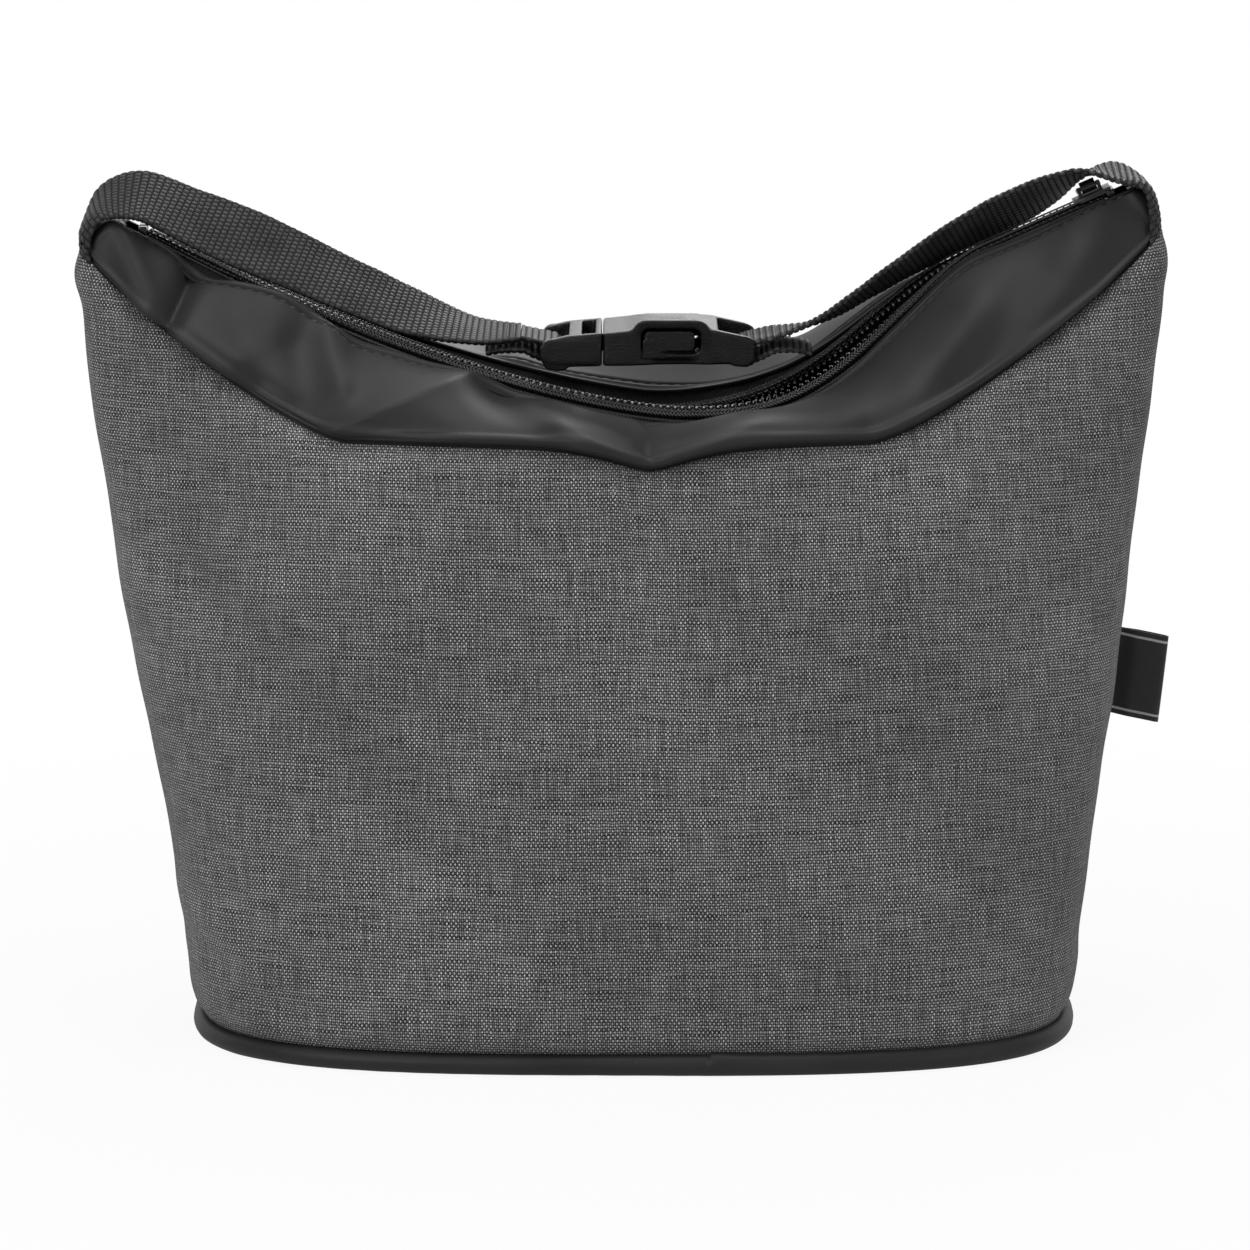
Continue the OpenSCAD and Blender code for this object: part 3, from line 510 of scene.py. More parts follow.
# Polyester with a matt polyurethane coat, knife-coated: smooth, soft satin shine that turns
# bright at a slant, faint grain, a few specks of dust and slightly duller fold lines.
coating = {"base": "#202021", "rough": 0.53, "grain": 0.05}


def coatedPolyester(name="pu_coated_polyester", base=None, rough=None):
    material, tree, shader = newMaterial(
        name, base or coating["base"], rough or coating["rough"], Specular_IOR_Level=0.3,
        Sheen_Weight=0.03, Sheen_Roughness=0.35)
    place = objectInMillimetres(tree)
    grain = noise(tree, place, 1.6, 4.0, 0.6)
    cloud = noise(tree, place, 0.035, 3.0)
    base = blendColour(tree, toRange(tree, cloud, 0.0, 1.0, 0.3, 0.7),
                       linear("#1b1b1c"), linear("#252526"))
    dust = addNode(tree, "TexVoronoi", {"feature": "F1"}, Vector=place, Scale=0.11,
                   Randomness=1.0)
    speck = calc(tree, "LESS_THAN", dust.outputs["Distance"], 0.016)
    base = blendColour(tree, calc(tree, "MULTIPLY", speck, 0.5), base, linear("#8f8f8f"))
    tree.links.new(base, shader.inputs["Base Color"])
    tree.links.new(toRange(tree, calc(tree, "MULTIPLY_ADD", cloud, 0.6,
                                      calc(tree, "MULTIPLY", grain, 0.4)),
                           (rough or coating["rough"]) - 0.06, (rough or coating["rough"]) + 0.08,
                           0.3, 0.7), shader.inputs["Roughness"])
    bumpFrom(tree, shader, grain, coating["grain"], 0.5)
    return material


# Polypropylene webbing: real ribs are in the mesh, so the surface only needs the fine
# filaments in each pick, a dry sheen and painted shade at the bottom between the picks.
webbingYarn = {"base": "#111112", "light": "#3e3e40", "filament": 0.12, "pick": 1.47,
               "cell": 20 / 14}


def polypropyleneWebbing():
    material, tree, shader = newMaterial(
        "polypropylene_webbing", webbingYarn["base"], 0.5, Specular_IOR_Level=0.35)
    place, u, v = uvInMillimetres(tree)
    streak = noise(tree, stretched(tree, place, 1.1, 1 / webbingYarn["filament"]), 1.0, 2.0)
    cloud = noise(tree, place, 0.12, 2.0)
    colour = blendColour(tree, toRange(tree, calc(tree, "MULTIPLY_ADD", streak, 0.6,
                                                  calc(tree, "MULTIPLY", cloud, 0.4)),
                                       0.0, 1.0, 0.35, 0.65),
                         linear(webbingYarn["base"]), linear(webbingYarn["light"]))
    # painted shade: near black in the gaps round each raised cell, in step with the cells of the mesh
    row = calc(tree, "FLOOR", calc(tree, "DIVIDE", u, webbingYarn["pick"]))
    shift = calc(tree, "MULTIPLY", calc(tree, "MODULO", row, 2.0), 0.5)
    du = calc(tree, "FRACT", calc(tree, "DIVIDE", u, webbingYarn["pick"]))
    dv = calc(tree, "FRACT", calc(tree, "ADD", calc(tree, "DIVIDE", v, webbingYarn["cell"]), shift))
    gaps = [calc(tree, "POWER", calc(tree, "ABSOLUTE", calc(tree, "MULTIPLY_ADD", d, 2.0, -1.0)),
                 2.4) for d in (du, dv)]
    gap = calc(tree, "MAXIMUM", *gaps)
    colour = blendColour(tree, gap, colour, linear("#030303"))
    tree.links.new(colour, shader.inputs["Base Color"])
    tree.links.new(toRange(tree, gap, 0.44, 0.95), shader.inputs["Roughness"])
    bumpFrom(tree, shader, calc(tree, "MULTIPLY_ADD", streak, 0.2, calc(
        tree, "SUBTRACT", 1.0, gap)), 0.22, 0.8)
    return material


# Zip tape and seam binding: close black polyester, herringbone rows with painted highlight on their crowns,
# no shine.
def wovenTape(name, base, light, pitch):
    material, tree, shader = newMaterial(name, base, 0.75, Specular_IOR_Level=0.25)
    place, u, v = uvInMillimetres(tree)
    zag = calc(tree, "PINGPONG", calc(tree, "DIVIDE", v, pitch * 2), 1.0)
    rows = calc(tree, "SINE", calc(tree, "MULTIPLY", calc(
        tree, "ADD", calc(tree, "DIVIDE", u, pitch), zag), 2 * np.pi))
    height = toRange(tree, rows, 0.0, 1.0, -1.0, 1.0)
    fibre = noise(tree, place, 4.0, 2.0)
    # painted highlight: lighter on the raised crowns of the rows, darker between them
    colour = blendColour(tree, calc(tree, "MULTIPLY", height, fibre), linear(base), linear(light))
    tree.links.new(colour, shader.inputs["Base Color"])
    bumpFrom(tree, shader, calc(tree, "MULTIPLY_ADD", fibre, 0.4, height), 0.12, 0.9)
    return material


# Extruded nylon monofilament of the zip coil: smooth, glossy black with small highlights.
def nylonCoil():
    material, tree, shader = newMaterial("nylon_monofilament", "#101011", 0.2,
                                         Specular_IOR_Level=0.7)
    place = objectInMillimetres(tree)
    wearAndGlint = noise(tree, place, 0.8, 2.0)
    tree.links.new(toRange(tree, wearAndGlint, 0.14, 0.26), shader.inputs["Roughness"])
    bumpFrom(tree, shader, wearAndGlint, 0.02, 0.4)
    return material


# Heads of the coil's loops, coined flat so that they mesh: the same black nylon, polished, painted pale grey
# as a highlight.
def headHighlightNylon():
    material, tree, shader = newMaterial("nylon_head_painted_highlight", "#b4b4b6", 0.2,
                                         Specular_IOR_Level=0.8)
    wearAndGlint = noise(tree, objectInMillimetres(tree), 0.8, 2.0)
    # painted highlight: the pale grey of the heads varies in brightness
    tree.links.new(blendColour(tree, wearAndGlint, linear("#8e8e90"), linear("#dcdcde")),
                   shader.inputs["Base Color"])
    tree.links.new(toRange(tree, wearAndGlint, 0.14, 0.26), shader.inputs["Roughness"])
    return material


# Acetal, injection moulded in a spark-eroded tool: even pebbled satin, soft bright edges.
acetal = {"base": "#0d0d0e", "grain": 0.42, "relief": 0.2}


def mouldedAcetal():
    material, tree, shader = newMaterial("moulded_acetal", acetal["base"], 0.4,
                                         Specular_IOR_Level=0.26)
    place = objectInMillimetres(tree)
    pebble = noise(tree, place, 1 / acetal["grain"], 3.0, 0.6)
    cloud = noise(tree, place, 0.1, 2.0)
    colour = blendColour(tree, toRange(tree, cloud, 0.0, 1.0, 0.35, 0.65),
                         linear("#080809"), linear("#0e0e0f"))
    tree.links.new(colour, shader.inputs["Base Color"])
    tree.links.new(toRange(tree, pebble, 0.17, 0.26, 0.3, 0.7), shader.inputs["Roughness"])
    bumpFrom(tree, shader, pebble, acetal["relief"], 1.0)
    return material


# Zinc die casting with black enamel: smooth with slight orange peel, thin on the edges.
def enamelledZinc():
    material, tree, shader = newMaterial("black_enamelled_zinc", "#1b1b1c", 0.3,
                                         Specular_IOR_Level=0.6, Coat_Weight=0.3,
                                         Coat_Roughness=0.2)
    place = objectInMillimetres(tree)
    peel = noise(tree, place, 1.4, 2.0)
    tree.links.new(toRange(tree, peel, 0.24, 0.4), shader.inputs["Roughness"])
    bumpFrom(tree, shader, peel, 0.02, 0.5)
    return material


# Metallised film on a thin foam, heat sealed: bright but wrinkled, so it scatters.
def foilFilm():
    material, tree, shader = newMaterial("metallised_film", "#c3c6ca", 0.32, Metallic=0.85)
    place = objectInMillimetres(tree)
    dents = noise(tree, place, 0.22, 4.0, 0.6)
    fine = noise(tree, place, 1.3, 2.0)
    tree.links.new(toRange(tree, fine, 0.24, 0.42), shader.inputs["Roughness"])
    tree.links.new(blendColour(tree, dents, linear("#aeb1b6"), linear("#cfd2d6")),
                   shader.inputs["Base Color"])
    bumpFrom(tree, shader, dents, 0.6, 0.6)
    return material


# Closed-cell polyethylene foam, skived: off-white, dull, pitted with cells.
def cellFoam():
    material, tree, shader = newMaterial("polyethylene_foam", "#e6e3dc", 0.75)
    place = objectInMillimetres(tree)
    cells = addNode(tree, "TexVoronoi", {"feature": "F1"}, Vector=place, Scale=1.4)
    tree.links.new(blendColour(tree, cells.outputs["Distance"], linear("#efece6"),
                               linear("#cfccc4")), shader.inputs["Base Color"])
    bumpFrom(tree, shader, cells.outputs["Distance"], 0.15, 0.6)
    return material


# Recycled polyethylene board, extruded: dark grey and dull, with faint draw lines.
def stiffBoard():
    material, tree, shader = newMaterial("polyethylene_board", "#3a3a3c", 0.6)
    place = objectInMillimetres(tree)
    lines = noise(tree, stretched(tree, place, 0.05, 1.2), 1.0, 3.0)
    tree.links.new(blendColour(tree, lines, linear("#333335"), linear("#434346")),
                   shader.inputs["Base Color"])
    bumpFrom(tree, shader, lines, 0.05, 0.5)
    return material


# Bonded polyester sewing thread, two plies: slight shine, twist along its length.
def sewingThread(name, dark, light):
    material, tree, shader = newMaterial(name, dark, 0.42, Specular_IOR_Level=0.5)
    place = objectInMillimetres(tree)
    twist = noise(tree, place, 3.0, 2.0)
    tree.links.new(blendColour(tree, twist, linear(dark), linear(light)),
                   shader.inputs["Base Color"])
    bumpFrom(tree, shader, twist, 0.05, 0.6)
    return material


# Damask-woven label ribbon: fine ribs across it, black, with plain raised grey bars.
label = {"height": 20, "reach": 11.5, "z": 82, "thick": 0.35, "gap": 1.6, "sag": 0.21,
         "lean": 0.11, "rib": 0.32}


def wovenLabel():
    material, tree, shader = newMaterial("damask_ribbon", "#151516", 0.6,
                                         Specular_IOR_Level=0.4, Sheen_Weight=0.2,
                                         Sheen_Roughness=0.4)
    place, u, v = uvInMillimetres(tree)
    ribs = toRange(tree, calc(tree, "SINE", calc(tree, "MULTIPLY", v, 2 * np.pi / label["rib"])),
                   0.0, 1.0, -1.0, 1.0)
    fibre = noise(tree, stretched(tree, place, 5.0, 1.0), 1.0, 2.0)
    # a plain border bar near each selvedge
    near = calc(tree, "ABSOLUTE", calc(tree, "SUBTRACT", calc(tree, "ABSOLUTE", v), 8.6))
    bar = calc(tree, "LESS_THAN", near, 0.28)
    colour = blendColour(tree, fibre, linear("#111112"), linear("#222224"))
    colour = blendColour(tree, calc(tree, "MULTIPLY", bar, 0.8), colour, linear("#a9aaac"))
    tree.links.new(colour, shader.inputs["Base Color"])
    bumpFrom(tree, shader, calc(tree, "MULTIPLY_ADD", bar, 0.8, ribs), 0.06, 0.8)
    return material


cloth, coated, webbingBlack = wovenPolyester(), coatedPolyester(), polypropyleneWebbing()
zipCloth = wovenTape("woven_zip_tape", "#0c0c0d", "#38383a", 0.62)
bindingCloth = wovenTape("woven_binding_tape", "#1b1b1c", "#363638", 0.9)
coil, plastic, enamel = nylonCoil(), mouldedAcetal(), enamelledZinc()
foil, foam, board = foilFilm(), cellFoam(), stiffBoard()
thread, ribbon = sewingThread("bonded_thread", "#151516", "#303031"), wovenLabel()
paintedHeadHighlight = headHighlightNylon()
# chain-stitch thread painted pale grey: painted glints on what is black thread
chainThreadGlint = sewingThread("zip_chain_thread_painted_glint", "#1c1c1d", "#5c5c5e")


def finishPiece(obj, material, slotName, *nodes):
    obj.data.materials.clear()
    obj.data.materials.append(material)
    if nodes:
        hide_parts(*nodes)
    return obj


print("materials made", len(bpy.data.materials))


# ---- walls and yokes ----
wallCols, wallRows = 321, 141
yokeCols, yokeRows = 401, 81


def wallRelief(p, v, side):
    # push along the normal: dents and soft folds of the filled wall, in millimetres
    x, z = p[..., 0], p[..., 2]
    h = 0.45 * ripple(x, z, 3 + side, 75) + 0.16 * ripple(x, z, 8 + side, 26)
    if side == front:
        h = h + crease(x, z, (-84, 108), (-52, 74), 7, 1.3)
        h = h + crease(x, z, (-92, 100), (-60, 66), 6, -1.1)
        h = h + crease(x, z, (-69, 137), (-58, 104), 9, 1.1)
        h = h + crease(x, z, (-100, 128), (-104, 70), 8, -0.9)
        h = h + crease(x, z, (-40, 120), (10, 112), 16, 1.2)
        h = h + crease(x, z, (4, 132), (2, 112), 6, -0.8)
        h = h + crease(x, z, (70, 132), (62, 92), 10, 0.9)
        h = h + crease(x, z, (98, 118), (92, 60), 10, -0.9)
        h = h + crease(x, z, (30, 62), (74, 40), 14, -0.9)
        h = h + crease(x, z, (-96, 30), (-74, 18), 3.5, 0.7)
        h = h + crease(x, z, (-97, 22), (-80, 12), 2.5, -0.6)
        h = h + crease(x, z, (-92, 40), (-84, 24), 3, -0.5)
        h = h + crease(x, z, (88, 30), (100, 18), 4, 0.6)
        h = h + crease(x, z, (-16, 60), (-20, 20), 12, 0.8)
    else:
        h = h + crease(x, z, (-70, 132), (-50, 92), 9, 1.0)
        h = h + crease(x, z, (66, 136), (48, 100), 9, 0.9)
        h = h + crease(x, z, (-20, 110), (30, 96), 15, 1.0)
        h = h + crease(x, z, (-90, 50), (-60, 30), 7, -0.8)
        h = h + crease(x, z, (90, 46), (70, 24), 7, 0.7)
    h = h * smooth((1 - v) / 0.10) * smooth(v / 0.08)
    # pulled in by the stitching along the top seam, the foot and the two side seams
    h = h - 1.5 * hill((1 - v) / 0.018) + 0.7 * hill((v - 0.955) / 0.022)
    h = h - 1.3 * hill(v / 0.012) + 0.35 * hill((v - 0.035) / 0.025)
    pucker = 0.12 * np.sin(p[..., 0] * 2 * np.pi / 7.3 + 2 * np.sin(p[..., 0] / 9))
    return h + pucker * hill((v - 0.965) / 0.02)


def sideSeamRelief(turn, v):  # groove and puckers where the two walls are sewn together
    near = np.minimum(turn, np.pi - turn) * 60
    return -0.9 * hill(near / 1.4) + 0.3 * hill((near - 4) / 2.5)


def wallGrids(side, rows=wallRows, cols=wallCols, low=0.0, high=0.997):
    t = np.linspace(0, np.pi, cols)
    t = t - 0.16 * np.sin(2 * t) * 0.5      # more columns round the ears
    v = np.linspace(low, high, rows)[:, None]
    base = wallSkin(v, t[None, :], side)
    n = surfaceNormals(base)
    n[:, [0, -1]] = n[:, [0, -1]] * np.array([1, 0, 1])   # both walls lean alike at the side seam
    n = unit(n)
    vv, tt = np.broadcast_arrays(v, t[None, :])
    h = wallRelief(base, vv, side) + sideSeamRelief(tt, vv)
    return base, n, h


def makeWall(name, side, node):
    base, n, h = wallGrids(side)
    outer = base + h[..., None] * n
    inner = base + (h - bag["fabric"])[..., None] * n
    uv = flatSizes(base)
    obj = addSheet(name, mirrored(outer, side), mirrored(inner, side), uv, "bag",
                   flip=side == back)
    return finishPiece(obj, cloth, "woven_grey", node)


makeWall("front_wall_cloth", front, "front_panel")
makeWall("back_wall_cloth", back, "back_panel")
print("walls made")


def yokeRelief(p, v, turn, side):
    # folds of the soft coated cloth: creases fan out from the stitched notches of the seam
    x, z = p[..., 0], p[..., 2]
    fade = smooth(v / 0.05) * smooth((1 - v) / 0.10)
    h = 0.30 * ripple(x, z, 21 + side, 44) + 0.10 * ripple(x, z, 25 + side, 17)
    if side == front:
        # left ear: a notch at the seam with a valley running up and a rolled ridge beside it
        h = h + crease(x, z, (-106, 163), (-100, 175), 3.0, -3.2, 0.7)
        h = h + crease(x, z, (-115, 180), (-108, 165), 3.4, 2.2)
        h = h + crease(x, z, (-101, 162), (-90, 156), 4.0, 1.5)
        h = h + crease(x, z, (-90, 168), (-84, 158), 5.0, -0.9)
        # fold under the dip of the zip's edge
        h = h + crease(x, z, (-69, 162), (-66, 152), 3.2, 1.7)
        h = h + crease(x, z, (-76, 160), (-74, 150), 4.5, -1.2)
        # second notch, with a sharp crease running up to the mouth
        h = h + crease(x, z, (-70, 141), (-36, 153), 2.4, 2.0, 0.7)
        h = h + crease(x, z, (-72, 143), (-84, 150), 3.0, -1.9, 0.3)
        h = h + crease(x, z, (-66, 139.5), (-46, 143.5), 3.0, -1.4)
        h = h + crease(x, z, (-34, 152), (-22, 145), 3.0, -1.3, 0.3)
        h = h + crease(x, z, (-22, 147), (-12, 140), 3.0, 1.0)
        # third notch at the middle
        h = h + crease(x, z, (3.9, 134), (3.0, 140), 2.2, -1.9, 0.6)
        h = h + crease(x, z, (2, 136), (-16, 143), 2.6, 1.3, 0.4)
        h = h + crease(x, z, (6, 136), (24, 142), 2.4, 1.2, 0.4)
        h = h + crease(x, z, (24, 143), (52, 147), 3.5, 0.9)
        h = h + crease(x, z, (58, 146), (76, 156), 4.5, -1.2)
        h = h + crease(x, z, (64, 150), (78, 166), 5.0, 1.4)
        h = h + crease(x, z, (92, 166), (104, 186), 6.5, 1.2)
        h = h + crease(x, z, (80, 158), (92, 176), 6.0, -0.9)
    else:
        h = h + crease(x, z, (-60, 150), (-46, 164), 5, -1.1)
        h = h + crease(x, z, (-30, 148), (-20, 160), 5, 1.1)
        h = h + crease(x, z, (18, 148), (34, 160), 5, -0.9)
        h = h + crease(x, z, (60, 150), (74, 168), 5, 1.3)
        h = h + crease(x, z, (90, 164), (100, 182), 6, -1.1)
    h = h * fade
    # the seam allowance behind it fills out a roll just over the seam
    middle = np.sin(turn) ** 0.7
    h = h + (0.6 + 0.9 * middle) * hill((v - 0.085) / 0.06) - 1.0 * hill(v / 0.018)
    # stuffed corners beside both ears, fuller on the right
    h = h + 2.0 * hill((turn / np.pi - 0.02) / 0.07) * np.sin(np.pi * v) ** 0.8
    h = h + 2.6 * hill((1 - turn / np.pi) / 0.05) * np.sin(np.pi * v) ** 0.7
    # topstitched edge: pressed flat along the stitches, and a thin fold stands past them
    h = h - 0.7 * hill((v - 0.915) / 0.011) + 0.3 * hill((v - 0.95) / 0.014)
    return h


def yokeBase(side, rows, cols, low=0.0, high=1.0):
    t = np.linspace(0, np.pi, cols)
    t = t - 0.16 * np.sin(2 * t) * 0.5
    v = np.linspace(low, high, rows)
    v = v - 0.055 * np.sin(2 * np.pi * v)   # more rows at the seam and at the folded edge
    vv, tt = np.meshgrid(v, t, indexing="ij")
    return yokeSkin(vv, tt, side), vv, tt


def yokeOuter(side, rows=yokeRows, cols=yokeCols):
    base, vv, tt = yokeBase(side, rows, cols)
    n = surfaceNormals(base)
    n[:, [0, -1]] = unit(n[:, [0, -1]] * np.array([1, 0, 1]))
    return base, n, vv, tt, yokeRelief(base, vv, tt, side)


def makeYoke(name, side, node):
    base, n, vv, tt, h = yokeOuter(side)
    outer = base + h[..., None] * n
    inner = base + (np.minimum(h, 1.2) - bag["fabric"])[..., None] * n
    obj = addSheet(name, mirrored(outer, side), mirrored(inner, side), flatSizes(base), "bag",
                   flip=side == back)
    return finishPiece(obj, coated, "coated_black", node)


makeYoke("front_coated_yoke", front, "front_yoke")
makeYoke("back_coated_yoke", back, "back_yoke")


def makeSeamAllowance(name, side):  # edges of wall and yoke, sewn together and turned in
    t = np.linspace(0.035, 0.965, 481) * np.pi
    wv, tt = np.meshgrid([0.962, 0.982, 0.997], t, indexing="ij")
    yv = np.meshgrid([0.0, 0.03, 0.062], t, indexing="ij")[0]
    wall, yoke = wallSkin(wv, tt, side), yokeSkin(yv, tt, side)
    n = np.concatenate([surfaceNormals(wall), surfaceNormals(yoke)])
    h = np.concatenate([wallRelief(wall, wv, side), yokeRelief(yoke, yv, tt, side)])
    line = np.concatenate([wall, yoke]) + (np.minimum(h, 0) - bag["fabric"])[..., None] * n
    obj = addSheet(name, mirrored(line - 0.04 * n, side), mirrored(line - 0.4 * n, side),
                   flatSizes(line), "bag", flip=side == back)
    return finishPiece(obj, coated, "coated_black")


makeSeamAllowance("front_seam_allowance", front)
makeSeamAllowance("back_seam_allowance", back)
print("yokes made")


# ---- insulation and lining inside ----
def makeLayer(name, grids, side, depth, thick, amount, seed, size, material, slotName, node):
    base, n, h = grids
    place = base[..., 0], base[..., 2]
    base = base + np.minimum(h, 0)[..., None] * n         # it follows the cloth's hollows
    dent = amount * ripple(*place, seed, size) + 0.4 * amount * ripple(*place, seed + 1, size / 3)
    dent = np.clip(dent, -2.2 * amount, 0)[..., None]     # dents go inwards only
    outer = base - depth * n
    inner = base - (depth + thick) * n + dent * n
    if thick < 1:
        outer = outer + dent * n
    obj = addSheet(name, mirrored(outer, side), mirrored(inner, side), flatSizes(base), "bag",
                   flip=side == back)
    return finishPiece(obj, material, slotName, node)


foamIn = bag["fabric"] + bag["gap"] + 0.25
liningIn = foamIn + bag["foam"] + bag["gap"]
yokeLiningIn = bag["fabric"] + bag["tape"] + 4 * bag["gap"]
for side, word in ((front, "front"), (back, "back")):
    makeLayer(word + "_wall_foam", wallGrids(side, 61, 121, 0.012, 0.95), side, foamIn,
              bag["foam"] - 0.3, 0.05, 31, 20, foam, "foam_white", word + "_foam")
    makeLayer(word + "_wall_foil", wallGrids(side, 101, 201, 0.014, 0.95), side, liningIn,
              bag["lining"], 0.35, 41 + side, 22, foil, "foil_silver", word + "_lining")
    base, vv, tt = yokeBase(side, 41, 181, 0.07, 0.7)
    makeLayer(word + "_yoke_foil",
              (base, surfaceNormals(base), yokeRelief(base, vv, tt, side)), side,
              yokeLiningIn + 0.2, bag["lining"], 0.15, 51 + side, 18, foil, "foil_silver",
              word + "_yoke_lining")
print("insulation and linings made")


# ---- base: stack of layers, piping and bindings ----
base = {"steps": 220, "layerInset": bag["pipingRadius"] * 2 - 1.1 + 0.15, "round": 0.25,
        "lapX": 17, "bindTop": 0.065}


def ovalPlan(count, inset):
    t = np.linspace(0, 2 * np.pi, count, endpoint=False)
    x, y = basePoint(t, inset)
    ring = xyz(x, y, 0)
    ring, _ = evenly(np.concatenate([ring, ring[:1]]), 1.0)
    k = np.linspace(0, len(ring) - 1, count + 1)[:-1]
    return np.stack([np.interp(k, np.arange(len(ring)), ring[:, a]) for a in range(3)], axis=1)


def makeBaseLayer(name, low, thick, material, slotName, node, dimple=0.0):
    # plate over the oval: rings shrink to the middle, over the rounded rim and back below
    plan = ovalPlan(base["steps"], base["layerInset"])
    r = min(base["round"], thick * 0.4)
    scale = np.linspace(0.02, 1, 40) ** 0.8
    out = np.concatenate([scale, [1], scale[::-1]])
    rise = np.concatenate([np.full(40, thick), [thick / 2], np.zeros(40)])
    edge = np.concatenate([np.zeros(39), [r / 60], [0], [r / 60], np.zeros(39)])
    g = plan[None] * (out - edge)[:, None, None]
    z = low + rise[:, None] + np.zeros((1, base["steps"]))
    if dimple:
        z = z + (rise > 0)[:, None] * dimple * np.clip(
            ripple(g[..., 0], g[..., 1], 61, 30), -2, 0) * 0.3
    g[..., 2] = z
    uv = g[..., :2]
    obj = addTube(name, g, uv, "bag", flip=True)
    return finishPiece(obj, material, slotName, node)


foamZ = bag["fabric"] + bag["gap"]
boardZ = foamZ + bag["foam"] + bag["gap"]
liningZ = boardZ + bag["board"] + bag["gap"]
makeBaseLayer("base_coated_panel", 0, bag["fabric"], coated, "coated_black", "base_panel")
makeBaseLayer("base_foam_pad", foamZ, bag["foam"], foam, "foam_white", "base_foam")
makeBaseLayer("base_stiffener", boardZ, bag["board"], board, "board_grey", "base_board")
makeBaseLayer("base_foil", liningZ, bag["lining"], foil, "foil_silver", "base_lining", 0.3)


def makePiping():
    # cord covered with coated cloth, swept round the foot; its end laps over its start
    r = bag["pipingRadius"]
    plan = ovalPlan(1400, r - 1.1)
    run = unit(np.roll(plan, -1, axis=0) - np.roll(plan, 1, axis=0))
    out = np.stack([run[:, 1], -run[:, 0], np.zeros(len(run))], axis=1)
    out = out * np.sign(np.sum(out * plan, axis=1))[:, None]
    lap = (plan[:, 1] < 0) * smooth((plan[:, 0] - base["lapX"]) / 0.8 + 0.5) * smooth(
        (base["lapX"] + 13 - plan[:, 0]) / 12)
    swell = 1 + 0.13 * smooth((plan[:, 0] + 20) / 60) * (plan[:, 1] < 0) + 0.12 * lap
    wrinkle = 1 + 0.010 * ripple(plan[:, 0], plan[:, 1], 71, 9)
    a = np.linspace(0, 2 * np.pi, 28, endpoint=False)
    flat = np.where(np.sin(a) < 0, 0.97, 1.0)             # it flattens where it stands
    radius = r * (swell * wrinkle)[:, None]
    centre = np.maximum(pipingZ, radius[:, 0] + 0.12)
    rings = (plan[:, None] + (radius * np.cos(a))[..., None] * out[:, None]
             + xyz(0, 0, radius * np.sin(a) * flat))
    rings[..., 2] += centre[:, None]
    run = np.linspace(0, 560, len(plan))[:, None]
    uv = np.stack(np.broadcast_arrays(run, r * a[None]), axis=-1)
    obj = addTube("foot_piping", rings, uv, "bag", closed=True, flip=True)
    return finishPiece(obj, coated, "coated_black", "base_piping")


makePiping()


def bindingGrids(side, low, high, rows, first, last, cols):
    t = np.linspace(first, last, cols)
    v = np.linspace(low, high, rows)[:, None]
    g = wallSkin(v, t[None, :], side)
    n = surfaceNormals(g)
    for k, place in ((0, first), (-1, last)):
        if place in (0, np.pi):
            n[:, k] = unit(n[:, k] * np.array([1, 0, 1]))
    return g, n


def makeBinding(name, parts, node):
    # folded tape over the raw seam edges: flat with a rounded bead along its fold
    pieces = []
    depth = liningIn + bag["lining"] + 0.3
    for k, (side, low, high, rows, first, last, cols, alongRows) in enumerate(parts):
        g, n = bindingGrids(side, low, high, rows, first, last, cols)
        q = np.linspace(0, 1, cols if alongRows else rows)
        puff = 0.25 * np.sin(np.pi * q) ** 0.5
        puff = puff[None, :, None] if alongRows else puff[:, None, None]
        outer, inner = g - depth * n, g - (depth + 0.65 + puff) * n
        pieces.append(addSheet(name + str(k), mirrored(outer, side), mirrored(inner, side),
                               flatSizes(g), None, flip=side == back))
    return finishPiece(joinAll(name, pieces, "bag"), bindingCloth, "binding_black", node)


makeBinding("base_seam_tape", [(side, 0.026, base["bindTop"], 7, 0, np.pi, 201, False)
                               for side in (front, back)], "base_seam_binding")
tip = np.pi / 30
makeBinding("side_seam_tapes", [(side, 0.08, 0.95, 80, *ends, 7, True)
                                for side in (front, back)
                                for ends in ((0, tip), (np.pi - tip, np.pi))],
            "side_seam_bindings")
print("base and bindings made")


# ---- zip: tapes, coils, stops, slider and pull ----
zipTurnFirst, zipTurnLast = np.pi * 3 / 30, np.pi * 27 / 30


def zipTurns(count):
    return np.linspace(zipTurnFirst, zipTurnLast, count)


def coilFrames(path, side, x):
    # run, inward (to the gap) and top directions; the front row tips up to face forwards where
    # the mouth gapes, and the back row hangs down there
    ahead, _, up = pathFrames(path)
    inward = -np.cross(ahead, up)
    tip = np.radians(56 if side == front else -48) * zipOpen(x)[:, None] ** 0.6
    return (ahead, np.cos(tip) * inward + np.sin(tip) * up,
            np.cos(tip) * up - np.sin(tip) * inward)


def coilLine(turn, side):  # the tipped front row sits lower, so its heads keep their height
    p = coilPoint(turn, side)
    return p - xyz(0, 0, 1.3 * zipOpen(zipX(turn)) ** 0.6) if side == front else p


